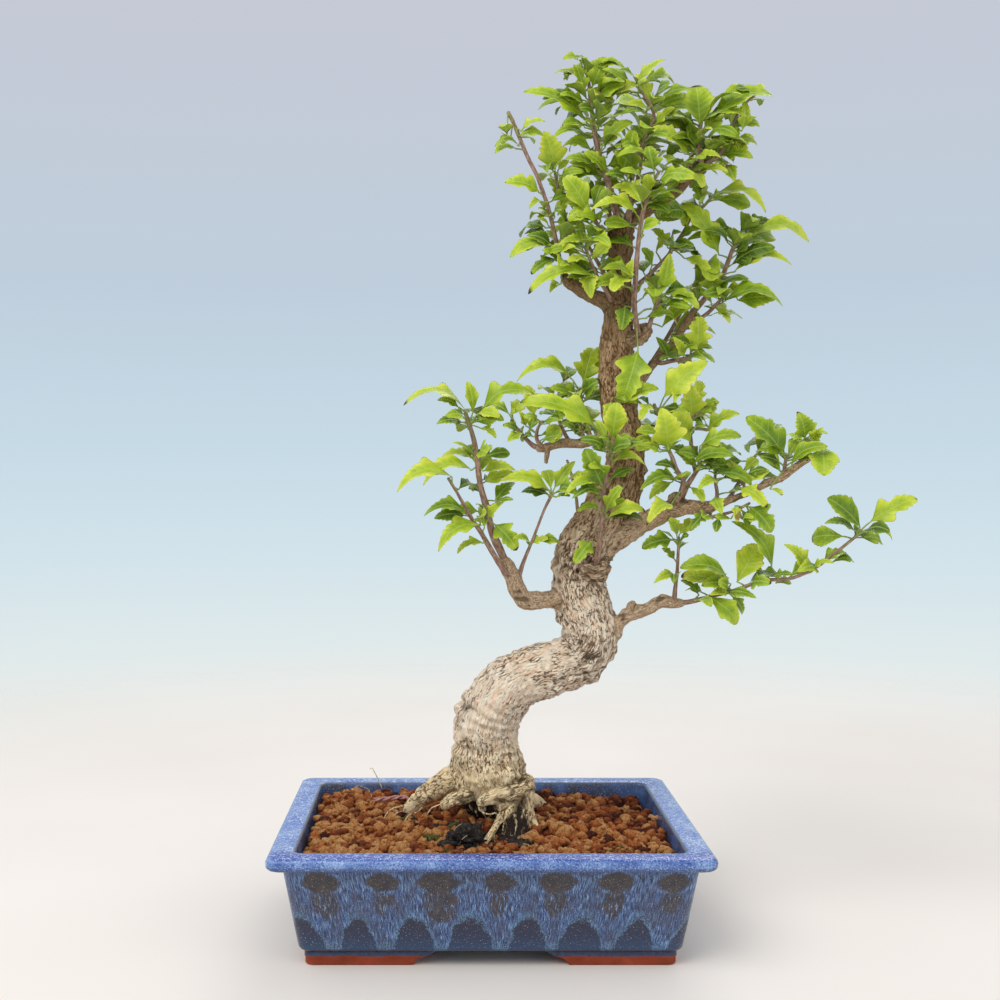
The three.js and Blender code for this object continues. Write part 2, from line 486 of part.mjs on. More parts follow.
// Shoots on the far side, leafed by rule: stem rows, how many leaves, and the longest of them
const farShoots = {
  far_crown_left: {
    stem: [[617, 232, 5, 2.4], [606, 205, 20, 1.7], [597, 170, 30, 1.4], [596, 132, 36, 1.1]],
    leaves: 5, length: 31,
  },
  far_crown_middle: {
    stem: [[623, 228, 5, 2.4], [634, 195, 22, 1.8], [642, 155, 32, 1.5], [646, 112, 36, 1.1]],
    leaves: 6, length: 31,
  },
  far_crown_right: {
    stem: [[668, 198, 6, 2.2], [684, 170, 24, 1.6], [700, 140, 32, 1.3], [712, 112, 36, 1.1]],
    leaves: 5, length: 30,
  },
  far_upper_left: {
    stem: [[615, 296, 6, 2.2], [602, 270, 22, 1.6], [588, 244, 32, 1.3], [580, 216, 38, 1.1]],
    leaves: 5, length: 30,
  },
  far_upper_right: {
    stem: [[650, 366, 10, 2], [668, 336, 24, 1.6], [688, 298, 32, 1.4], [704, 262, 36, 1.1]],
    leaves: 5, length: 31,
  },
  far_mid_right: {
    stem: [[634, 462, 8, 2.4], [652, 440, 22, 1.7], [680, 428, 32, 1.4], [712, 430, 36, 1.1]],
    leaves: 5, length: 31,
  },
  far_mid_end: {
    stem: [[726, 503, -17, 1.9], [738, 484, 0, 1.4], [750, 462, 10, 1.2], [768, 444, 16, 1]],
    leaves: 4, length: 28,
  },
  far_mid_left: {
    stem: [[570, 443, 19, 1.9], [562, 428, 30, 1.4], [556, 408, 38, 1.2], [560, 388, 42, 1]],
    leaves: 4, length: 28,
  },
};

// A point of the measured view at a depth, in the pot's own frame
function seen(column, row, depth) {
  const reach = depth - eye.y;
  const across = (column - middleColumn) * reach / focal;
  const down = (row - levelRow) * reach / focal;
  return new THREE.Vector3(eye.x + across, depth, eye.z - down);
}

// Seeded draws between 0 and 1, by a linear congruence on 32 bits
function drawsFrom(seed) {
  let state = seed;
  return () => {
    state = (state * 1664525 + 1013904223) % 4294967296;
    return state / 4294967296;
  };
}

// A closed mesh, given as vectors and triples of their places, made a solid that can be joined and cut
function solidOf(points, triangles) {
  const vertProperties = new Float32Array(points.flatMap((point) => point.toArray()));
  const triVerts = new Uint32Array(triangles.flat());
  return new wasm.Manifold(new wasm.Mesh({ numProp: 3, vertProperties, triVerts }));
}

// Rings of equal length joined into a skin, with a middle point closing each end
function skinOf(rings, firstMiddle, lastMiddle) {
  const sides = rings[0].length;
  const points = rings.flat();
  const triangles = [];
  for (let ring = 0; ring + 1 < rings.length; ring += 1) {
    for (let side = 0; side < sides; side += 1) {
      const next = (side + 1) % sides;
      const low = ring * sides;
      const high = low + sides;
      triangles.push([low + side, low + next, high + next], [low + side, high + next, high + side]);
    }
  }
  const last = (rings.length - 1) * sides;
  points.push(firstMiddle, lastMiddle);
  for (let side = 0; side < sides; side += 1) {
    const next = (side + 1) % sides;
    triangles.push([side, points.length - 2, next], [last + side, last + next, points.length - 1]);
  }
  return solidOf(points, triangles);
}

// A limb's smooth centreline with its radii: steps points for each stretch between two rows
function centreline(rows, steps) {
  const places = rows.map((row) => seen(row[0], row[1], row[2]));
  const curve = new THREE.CatmullRomCurve3(places, false, 'centripetal');
  const count = (rows.length - 1) * steps;
  const stations = [];
  for (let index = 0; index <= count; index += 1) {
    const place = index / steps;
    const low = Math.min(Math.floor(place), rows.length - 2);
    const share = place - low;
    const radius = rows[low][3] * (1 - share) + rows[low + 1][3] * share;
    stations.push({ point: curve.getPoint(index / count), radius });
  }
  return stations;
}

// A limb as a closed tube, its rings carried along without twist, ribbed by a share of the radius
function limbSolid(rows, sides, steps, extra, rib) {
  const stations = centreline(rows, steps);
  const rings = [];
  let across = new THREE.Vector3(0, -1, 0);
  const headings = stations.map((station, index) => {
    const before = stations[Math.max(index - 1, 0)].point;
    const after = stations[Math.min(index + 1, stations.length - 1)].point;
    return after.clone().sub(before).normalize();
  });
  stations.forEach((station, index) => {
    const heading = headings[index];
    across = across.clone().addScaledVector(heading, -across.dot(heading)).normalize();
    const beside = heading.clone().cross(across);
    const ring = [];
    for (let side = 0; side < sides; side += 1) {
      const angle = side / sides * 2 * Math.PI;
      const ribbed = side % 2 === 0 ? 1 + rib : 1 - rib;
      const radius = station.radius * ribbed * (1 + rib * Math.sin(index * 1.7 + side * 2.3)) + extra;
      ring.push(station.point.clone()
        .addScaledVector(across, Math.cos(angle) * radius)
        .addScaledVector(beside, Math.sin(angle) * radius));
    }
    rings.push(ring);
  });
  const first = stations[0].point.clone().addScaledVector(headings[0], -extra);
  const end = stations.length - 1;
  const reach = stations[end].radius * 0.35 + extra;
  return skinOf(rings, first, stations[end].point.clone().addScaledVector(headings[end], reach));
}

// How far along a blade each lobe point sits, and how far out as a share of the half width
const lobePoints = [[0.2, 0.5], [0.44, 1], [0.55, 0.62], [0.74, 0.56]];
const smallLobePoints = [[0.42, 1], [0.68, 0.6]];
const smallLeaf = 24;
const leastLeaf = 13.5;

// One leaf: a three-sided leafstalk from inside its stem, and a lens-shaped lobed blade arched along its rib
function leafSolid(leaf, extra) {
  const chord = leaf.tip.clone().sub(leaf.base);
  const length = chord.length();
  const along = chord.clone().normalize();
  const side = leaf.face.clone().cross(along);
  const half = length * leaf.wide / 2 + extra;
  const rib = (share, lift) => leaf.base.clone()
    .addScaledVector(chord, share + extra / length * Math.sign(share - 0.5) * (share > 0.9 ? 1 : 0))
    .addScaledVector(leaf.face, length * leaf.arch * 4 * share * (1 - share) + lift);
  const stalkRing = (centre, heading, radius) => {
    const over = leaf.face.clone().addScaledVector(heading, -leaf.face.dot(heading)).normalize();
    const out = over.clone().cross(heading);
    return [[0.87, 0.5], [-0.87, 0.5], [0, -1]].map(([x, z]) => centre.clone()
      .addScaledVector(out, x * radius).addScaledVector(over, z * radius));
  };
  const stalk = leaf.base.clone().sub(leaf.start).normalize();
  const radius = petioleRadius + extra;
  const points = [...stalkRing(leaf.start, stalk, radius * 0.5), ...stalkRing(leaf.base, along, radius)];
  const triangles = [[0, 2, 1], [0, 1, 4], [0, 4, 3], [0, 3, 5], [0, 5, 2], [1, 2, 5], [1, 5, 4]];
  const lobes = length < smallLeaf ? smallLobePoints : lobePoints;
  const place = (point) => points.push(point) - 1;
  const left = [3];
  const right = [4];
  lobes.forEach(([share, out], index) => {
    const lift = half * out * (leaf.cup + leaf.wave * (index % 2 === 0 ? 1 : -1));
    left.push(place(rib(share, lift).addScaledVector(side, half * out)));
    right.push(place(rib(share, lift).addScaledVector(side, -half * out)));
  });
  const tip = place(rib(1, 0));
  left.push(tip);
  right.push(tip);
  const upper = place(rib(0.5, bladeThickness / 2 + extra));
  const lower = place(rib(0.5, -bladeThickness / 2 - extra));
  const fan = (edge, middle, flip) => {
    for (let index = 0; index + 1 < edge.length; index += 1) {
      triangles.push(flip ? [edge[index], edge[index + 1], middle] : [edge[index], middle, edge[index + 1]]);
    }
  };
  fan(left, upper, false);
  fan(right, upper, true);
  fan(left, lower, true);
  fan(right, lower, false);
  triangles.push([3, 4, upper], [3, lower, 5], [5, lower, 4]);
  return solidOf(points, triangles);
}

// The blade's face: turned from the sky towards the front, then made square to the blade's length
function faceFor(base, tip, turn, roll) {
  const along = tip.clone().sub(base).normalize();
  const angle = turn * Math.PI / 180;
  const face = new THREE.Vector3(roll, -Math.sin(angle), Math.cos(angle));
  return face.addScaledVector(along, -face.dot(along)).normalize();
}

// Points spread over a blade, for measuring how close two leaves come
function spread(leaf) {
  const chord = leaf.tip.clone().sub(leaf.base);
  const length = chord.length();
  const side = leaf.face.clone().cross(chord).normalize();
  const places = [[0, 0], [0.45, -0.8], [0.25, 0], [0.45, 0.8], [0.6, 0], [0.95, 0]];
  return places.map(([share, out]) => leaf.base.clone()
    .addScaledVector(chord, share)
    .addScaledVector(leaf.face, length * leaf.arch * 4 * share * (1 - share))
    .addScaledVector(side, out * length * leaf.wide / 2));
}

// How near a leaf comes to what has been placed; its own shoot counts for less
function clearance(leaf, taken, owner) {
  const points = spread(leaf);
  let nearest = Infinity;
  for (const other of taken) {
    if (other.owner === `${owner} stem`) {
      continue;
    }
    const ease = other.owner === owner ? 0.8 : 0;
    for (const point of points) {
      nearest = Math.min(nearest, point.distanceTo(other.point) - other.radius + ease);
    }
  }
  return nearest;
}

// Shifts tried for a leaf that comes too near another, in depth or, by rule, round its stem
const bends = [0, -5, 5, -10, 10, -16, 16];
const enough = 4.5;

// Every leaf settled in turn on its stem, bent clear of those before it
function layOut() {
  const draw = drawsFrom(20);
  const taken = [];
  const take = (points, radius, owner) => {
    points.forEach((point) => taken.push({ point, radius, owner }));
  };
  for (const rows of Object.values(woodLimbs)) {
    centreline(rows, 2).forEach((station) => take([station.point], station.radius - 1, 'wood'));
  }
  const all = [...Object.entries(shoots), ...Object.entries(farShoots)];
  for (const [name, shoot] of all) {
    centreline(shoot.stem, 2).slice(2).forEach((station) => take([station.point], 0.5, `${name} stem`));
  }
  const laid = {};
  for (const [name, shoot] of all) {
    const stations = centreline(shoot.stem, 4);
    const count = typeof shoot.leaves === 'number' ? shoot.leaves : shoot.leaves.length;
    laid[name] = [];
    for (let index = 0; index < count; index += 1) {
      const look = {
        roll: draw() - 0.5, cup: 0.1 + 0.22 * draw(), wave: 0.12 * (draw() - 0.5), size: draw(),
      };
      let best = null;
      for (const bend of bends) {
        const leaf = typeof shoot.leaves === 'number'
          ? leafByRule(shoot, stations, index, look, bend)
          : leafAsSeen(shoot.leaves[index], stations, look, bend);
        const room = clearance(leaf, taken, name);
        if (best === null || room > best.room + 0.01) {
          best = { leaf, room };
        }
        if (room >= enough) {
          break;
        }
      }
      laid[name].push(best.leaf);
      take(spread(best.leaf), 0, name);
    }
  }
  return laid;
}

// A leaf from its row: its base is level in depth with the nearest stretch of stem, a little towards its tip
function leafAsSeen(row, stations, look, bend) {
  const [baseColumn, baseRow, tipColumn, tipRow, behind, arch, turn, wide] = row;
  let nearest = stations[0].point;
  let shortest = Infinity;
  for (const station of stations.filter((_, index) => index % 4 === 2)) {
    const flat = seen(baseColumn, baseRow, station.point.y);
    const gap = flat.distanceTo(station.point);
    if (gap < shortest) {
      shortest = gap;
      nearest = station.point;
    }
  }
  const base = seen(baseColumn, baseRow, nearest.y + 0.3 * (behind + bend));
  const tip = seen(tipColumn, tipRow, nearest.y + behind + bend);
  const face = faceFor(base, tip, turn ?? usualLeaf.turn, look.roll * 0.5);
  return {
    start: nearest, base, tip, face, arch: arch ?? usualLeaf.arch, wide: wide ?? usualLeaf.wide,
    cup: look.cup, wave: look.wave,
  };
}

// A leaf by rule: a golden-angle step round the stem from the one before, rising then drooping at its tip
function leafByRule(shoot, stations, index, look, bend) {
  const share = 0.3 + 0.7 * index / (shoot.leaves - 1);
  const start = stations[Math.round(share * (stations.length - 1))].point;
  const angle = index * 2.39996 + look.roll + bend * 0.06;
  const heading = new THREE.Vector3(Math.cos(angle), Math.sin(angle), 0.2 + 0.7 * share * share).normalize();
  const length = shoot.length * (0.72 + 0.28 * look.size);
  const base = start.clone().addScaledVector(heading, 5);
  const tip = base.clone().addScaledVector(heading, length);
  tip.z -= length * 0.25;
  return {
    start, base, tip, face: faceFor(base, tip, 20, look.roll), arch: 0.16, wide: usualLeaf.wide,
    cup: look.cup, wave: look.wave,
  };
}

// A rounded rectangle ring of the pot at a height, inset from its rim
function potRing(height, inset, radius) {
  const ring = [];
  const halfX = potWidth / 2 - inset - radius;
  const halfY = potDepth / 2 - inset - radius;
  [[1, 1], [-1, 1], [-1, -1], [1, -1]].forEach(([signX, signY], corner) => {
    for (let step = 0; step <= cornerSteps; step += 1) {
      const angle = (corner + step / cornerSteps) * Math.PI / 2;
      ring.push(new THREE.Vector3(
        signX * halfX + Math.cos(angle) * radius, signY * halfY + Math.sin(angle) * radius, height));
    }
  });
  return ring;
}

function loftSolid(profile) {
  const rings = profile.map(([height, inset, radius]) => potRing(height, inset, radius));
  return skinOf(rings, new THREE.Vector3(0, 0, profile[0][0]), new THREE.Vector3(0, 0, profile.at(-1)[0]));
}

// An outline in X and Z carried along Y, or in Y and Z carried along X, by an extrusion turned upright
function prismSolid(outline, length, alongX) {
  const shape = new THREE.Shape(outline.map(([x, z]) => new THREE.Vector2(x, z)));
  const geometry = new THREE.ExtrudeGeometry(shape, { depth: length, bevelEnabled: false, steps: 1 });
  geometry.translate(0, 0, -length / 2);
  geometry.rotateX(Math.PI / 2);
  if (alongX) {
    geometry.rotateZ(Math.PI / 2);
  }
  return solidOfGeometry(geometry);
}

// A closed three.js geometry as a solid, its coinciding vertices found by place
function solidOfGeometry(geometry) {
  const flat = geometry.index ? geometry.toNonIndexed() : geometry;
  const place = flat.getAttribute('position');
  const known = new Map();
  const points = [];
  const corners = [];
  for (let index = 0; index < place.count; index += 1) {
    const point = new THREE.Vector3().fromBufferAttribute(place, index);
    const key = point.toArray().map((value) => Math.round(value * 1000)).join();
    if (!known.has(key)) {
      known.set(key, points.push(point) - 1);
    }
    corners.push(known.get(key));
  }
  const triangles = [];
  for (let index = 0; index < corners.length; index += 3) {
    const [a, b, c] = corners.slice(index, index + 3);
    if (a !== b && b !== c && c !== a) {
      triangles.push([a, b, c]);
    }
  }
  return solidOf(points, triangles);
}

function boxSolid(width, depth, height, x, y, z) {
  return solidOfGeometry(new THREE.BoxGeometry(width, depth, height).translate(x, y, z));
}

function postSolid(radius, height, x, y, z, sides) {
  const geometry = new THREE.CylinderGeometry(radius, radius, height, sides);
  return solidOfGeometry(geometry.rotateX(Math.PI / 2).translate(x, y, z));
}

// The pot: a lofted shell on a plinth, four corner feet parted by sloped gaps, two drainage holes
function buildPot() {
  const shell = loftSolid(potProfile);
  const band = loftSolid([[0, footInset, 5], [floorUnderside - plinthDrop, footInset, 5],
    [floorUnderside - plinthDrop + 0.4, footInset - 0.5, 5], [floorUnderside + 1, footInset - 0.5, 5]]);
  const within = loftSolid([[-1, footInset + footBand, 4], [floorUnderside, footInset + footBand, 4]]);
  const gapOutline = [[-46, -1], [46, -1], [42.5, 4.6], [38, 5], [31, floorUnderside], [-31, floorUnderside],
    [-38, 5], [-42.5, 4.6]];
  const frontGap = prismSolid(gapOutline, potDepth, false);
  const sideGap = prismSolid(gapOutline.map(([x, z]) => [x * sideGapShare, z]), potWidth, true);
  let pot = shell.add(band.subtract(within).subtract(frontGap).subtract(sideGap));
  for (const x of [-drainX, drainX]) {
    pot = pot.subtract(postSolid(drainRadius, 20, x, 0, 12, 14));
  }
  return pot;
}

// A mesh screen lying over a drainage hole, pierced by a square grid of square openings
function buildScreen(x, extra) {
  const middle = floorTop + touchGap + screenThickness / 2;
  const pitch = screenSide / 3;
  const side = screenSide + 2 * extra;
  const opening = screenOpening - 2 * extra;
  let screen = boxSolid(side, side, screenThickness + 2 * extra, x, 0, middle);
  for (let column = -0.5; column <= 0.5; column += 1) {
    for (let row = -0.5; row <= 0.5; row += 1) {
      screen = screen.subtract(boxSolid(opening, opening, 6, x + column * pitch, row * pitch, middle));
    }
  }
  return screen;
}

// The ground's height: level, sinking to the right back corner and mounded up at the foot of the trunk
function groundHeight(x, y) {
  const sink = 4.5 * THREE.MathUtils.smoothstep(x, 30, 110) * THREE.MathUtils.smoothstep(y, -60, 60);
  const mound = 7 * Math.exp(-((x - 0) ** 2 / 1100 + (y + 6) ** 2 / 700));
  return soilLevel - sink + mound;
}

// The soil: a filling of the pot whose top is a jittered lattice of knobs, larger than the real granules
function buildSoil() {
  const draw = drawsFrom(7);
  const countX = Math.round(potWidth / soilPitch);
  const countY = Math.round(potDepth / soilPitch);
  const points = [];
  const base = floorTop + touchGap;
  for (let row = 0; row <= countY; row += 1) {
    for (let column = 0; column <= countX; column += 1) {
      const x = (column / countX - 0.5) * potWidth + (draw() - 0.5) * soilPitch * 0.6;
      const y = (row / countY - 0.5) * potDepth + (draw() - 0.5) * soilPitch * 0.6;
      const knob = (column + row) % 2 === 0 ? 1.6 : -1.4;
      points.push(new THREE.Vector3(x, y, groundHeight(x, y) + knob + (draw() - 0.5) * 2));
    }
  }
  const wide = countX + 1;
  const triangles = [];
  for (let row = 0; row < countY; row += 1) {
    for (let column = 0; column < countX; column += 1) {
      const corner = row * wide + column;
      triangles.push([corner, corner + 1, corner + wide + 1], [corner, corner + wide + 1, corner + wide]);
    }
  }
  const edge = [];
  for (let column = 0; column < countX; column += 1) edge.push(column);
  for (let row = 0; row < countY; row += 1) edge.push(row * wide + countX);
  for (let column = countX; column > 0; column -= 1) edge.push(countY * wide + column);
  for (let row = countY; row > 0; row -= 1) edge.push(row * wide);
  const foot = edge.map((corner) => points.push(points[corner].clone().setZ(base)) - 1);
  const middle = points.push(new THREE.Vector3(0, 0, base)) - 1;
  edge.forEach((corner, index) => {
    const next = (index + 1) % edge.length;
    triangles.push([corner, foot[index], foot[next]], [corner, foot[next], edge[next]]);
    triangles.push([foot[index], middle, foot[next]]);
  });
  const inside = loftSolid([
    [base, 26 + touchGap, 7], [22, 22 + touchGap, 7], [60, 16.6 + touchGap, 6], [65.2, 16.1 + touchGap, 6],
    [75, 16.1 + touchGap, 6],
  ]);
  const screenRoom = screenSide + 2 * touchGap;
  const rooms = [-drainX, drainX].map((x) => (
    boxSolid(screenRoom, screenRoom, 2 * (screenThickness + 2 * touchGap), x, 0, floorTop)));
  return rooms.reduce((soil, room) => soil.subtract(room), solidOf(points, triangles).intersect(inside));
}

// The clod: a faceted lump of old peat, sunk a little into the ground
function buildClod(extra) {
  const draw = drawsFrom(11);
  const centre = seen(462, 838, -42);
  const rings = [];
  for (let ring = 1; ring < 6; ring += 1) {
    const tilt = ring / 6 * Math.PI;
    const around = [];
    for (let side = 0; side < 9; side += 1) {
      const angle = side / 9 * 2 * Math.PI;
      const bump = 1 + 0.26 * (draw() - 0.5);
      around.push(new THREE.Vector3(
        centre.x + Math.cos(angle) * Math.sin(tilt) * (12.5 * bump + extra),
        centre.y + Math.sin(angle) * Math.sin(tilt) * (14 * bump + extra),
        centre.z + 1 - Math.cos(tilt) * (7.5 * bump + extra)));
    }
    rings.push(around);
  }
  const low = new THREE.Vector3(centre.x, centre.y, centre.z - 6.5 - extra);
  return skinOf(rings, low, new THREE.Vector3(centre.x, centre.y, centre.z + 8.5 + extra));
}

// The tie wire: two strands twisted over the ground, then legs down through the soil and a drainage hole
const wireRadius = 0.9;
function buildWire(extra) {
  const strand = (points) => {
    const curve = new THREE.CatmullRomCurve3(points, false, 'centripetal');
    const shape = new THREE.Shape();
    for (let side = 0; side < 4; side += 1) {
      const angle = side / 4 * 2 * Math.PI;
      const corner = [Math.cos(angle) * (wireRadius + extra), Math.sin(angle) * (wireRadius + extra)];
      if (side === 0) {
        shape.moveTo(...corner);
      } else {
        shape.lineTo(...corner);
      }
    }
    const steps = points.length - 1;
    const options = { steps, extrudePath: curve, bevelEnabled: false };
    return solidOfGeometry(new THREE.ExtrudeGeometry(shape, options));
  };
  const from = seen(406, 799, 47);
  const to = seen(374, 802, 47);
  const twist = (phase) => {
    const points = [];
    for (let step = 0; step <= 7; step += 1) {
      const share = step / 7;
      const angle = phase + share * 1.75 * 2 * Math.PI;
      const point = from.clone().lerp(to, share);
      point.y += Math.cos(angle) * wireRadius * 0.85;
      point.z += 1.4 + Math.sin(angle) * wireRadius * 0.85;
      points.push(point);
    }
    return points;
  };
  const leg = (start, column, row, spreadTo) => [
    start, new THREE.Vector3(start.x + 3, start.y - 3, start.z - 5),
    new THREE.Vector3((start.x + column) / 2, start.y * 0.6, 40),
    new THREE.Vector3(column, row + 2, 24), new THREE.Vector3(column, row, 17),
    new THREE.Vector3(column, row, 11),
    new THREE.Vector3(column + spreadTo * 1.5, row, 7.7), new THREE.Vector3(column + spreadTo * 9, row, 7.7),
  ];
  const first = twist(0);
  const second = twist(Math.PI);
  const legA = leg(first[0], -drainX - 5, 4.2, -1);
  const legB = leg(second[0], -drainX + 5, 4.2, 1);
  return strand([...first.reverse(), ...legA.slice(1)]).add(strand([...second.reverse(), ...legB.slice(1)]));
}

// The largest body of a solid: a scrap that a cut leaves loose is dropped
function largest(solid) {
  const bodies = solid.decompose();
  return bodies.reduce((best, body) => (body.volume() > best.volume() ? body : best), bodies[0]);
}

function boxesMeet(first, second) {
  const a = first.boundingBox();
  const b = second.boundingBox();
  return [0, 1, 2].every((axis) => a.min[axis] <= b.max[axis] && b.min[axis] <= a.max[axis]);
}

// Finished solids with their slightly fatter twins, which later solids are cut back from
const settled = [];
function settle(name, material, solid, twin) {
  let clear = solid;
  for (const other of settled) {
    if (boxesMeet(clear, other.twin)) {
      clear = clear.subtract(other.twin);
    }
  }
  clear = largest(clear);
  settled.push({ name, material, solid: clear, twin });
}

// A solid as a named mesh with its own material
function meshOf(name, solid, [color, roughness, metalness]) {
  const { vertProperties, triVerts } = solid.getMesh();
  const geometry = new THREE.BufferGeometry();
  geometry.setAttribute('position', new THREE.BufferAttribute(new Float32Array(vertProperties), 3));
  geometry.setIndex(new THREE.BufferAttribute(new Uint32Array(triVerts), 1));
  geometry.computeVertexNormals();
  const material = new THREE.MeshStandardMaterial({ color, roughness, metalness });
  const mesh = new THREE.Mesh(geometry, material);
  mesh.name = name;
  return mesh;
}

const glaze = [0x4668b0, 0.25, 0];
const bark = [0xb8a284, 0.85, 0];
const foliage = [0x7aa838, 0.5, 0];
const clay = [0x8a4f2e, 0.95, 0];
const peat = [0x2a2421, 0.95, 0];
const copper = [0xb06a62, 0.4, 0.6];
const netting = [0x2c2f2c, 0.6, 0];

function sidesFor(name) {
  if (name === 'trunk') {
    return 10;
  }
  return woodLimbs[name][0][3] > 6 ? 6 : 5;
}

function buildWood(extra) {
  const limbs = Object.entries(woodLimbs).map(([name, rows]) => (
    limbSolid(rows, sidesFor(name), 1, extra, name === 'trunk' ? 0.045 : 0.03)));
  return limbs.reduce((joined, limb) => joined.add(limb));
}

function buildShoot(stem, leaves, extra) {
  const grown = leaves.filter((leaf) => leaf.base.distanceTo(leaf.tip) > leastLeaf);
  const parts = grown.map((leaf) => leafSolid(leaf, extra));
  return parts.reduce((joined, leaf) => joined.add(leaf), limbSolid(stem, 4, 1, extra, 0));
}

settle('pot', glaze, buildPot(), buildPot());
for (const [name, x] of [['drainage_screen_left', -drainX], ['drainage_screen_right', drainX]]) {
  settle(name, netting, buildScreen(x, 0), buildScreen(x, touchGap));
}
settle('wood', bark, buildWood(0), buildWood(touchGap));
const leafLayout = layOut();
for (const [name, shoot] of [...Object.entries(shoots), ...Object.entries(farShoots)]) {
  const leaves = leafLayout[name];
  settle(name, foliage, buildShoot(shoot.stem, leaves, 0), buildShoot(shoot.stem, leaves, touchGap));
}
settle('peat_clod', peat, buildClod(0), buildClod(touchGap));
settle('tie_wire', copper, buildWire(0), buildWire(touchGap));
settle('soil', clay, buildSoil());

// The origin goes under the middle of the whole object's box, on the surface that the feet stand on
const bonsai = new THREE.Group();
for (const { name, material, solid } of settled) {
  bonsai.add(meshOf(name, solid, material));
}
const reach = new THREE.Box3().setFromObject(bonsai);
const centre = reach.getCenter(new THREE.Vector3());
bonsai.position.set(-centre.x, -centre.y, 0);
bonsai.updateMatrixWorld(true);
const model = new THREE.Group();
model.add(bonsai);

export default model;
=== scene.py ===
import math
import bpy
import numpy as np
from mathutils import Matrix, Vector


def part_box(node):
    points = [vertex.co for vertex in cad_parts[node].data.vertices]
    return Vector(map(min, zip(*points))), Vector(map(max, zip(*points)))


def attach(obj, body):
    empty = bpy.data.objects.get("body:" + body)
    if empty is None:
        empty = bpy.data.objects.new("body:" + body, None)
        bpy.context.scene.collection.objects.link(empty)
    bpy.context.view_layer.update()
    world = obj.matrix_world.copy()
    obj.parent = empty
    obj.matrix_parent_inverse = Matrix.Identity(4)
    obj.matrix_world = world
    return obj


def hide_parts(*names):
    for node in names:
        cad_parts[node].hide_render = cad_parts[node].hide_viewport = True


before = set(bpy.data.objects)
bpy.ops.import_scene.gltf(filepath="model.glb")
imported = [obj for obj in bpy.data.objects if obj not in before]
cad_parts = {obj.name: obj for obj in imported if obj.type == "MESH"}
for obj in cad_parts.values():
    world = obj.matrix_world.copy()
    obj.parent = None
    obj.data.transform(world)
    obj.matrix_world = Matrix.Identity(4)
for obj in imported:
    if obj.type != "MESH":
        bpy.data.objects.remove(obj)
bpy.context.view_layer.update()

# Rose of sharon bonsai in a glazed pot. Shapes are worked out in millimetres in the pot's own frame, which
# has its middle on the floor under the pot, and put into metres in the row frame by toFrame.
potLow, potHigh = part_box("pot")
potMiddle = np.array([(potLow.x + potHigh.x) * 500, (potLow.y + potHigh.y) * 500, 0.0])
treeHeight = 553.0
goldenAngle = 2.39996

# the measured view of the photograph: its eye, its focal length in columns, the column and row that it
# looks along, and how many columns it has
view = {"eye": (-25.6, -801.6, 288.8), "focal": 1240.0, "column": 447.0, "row": 472.0, "across": 1000}

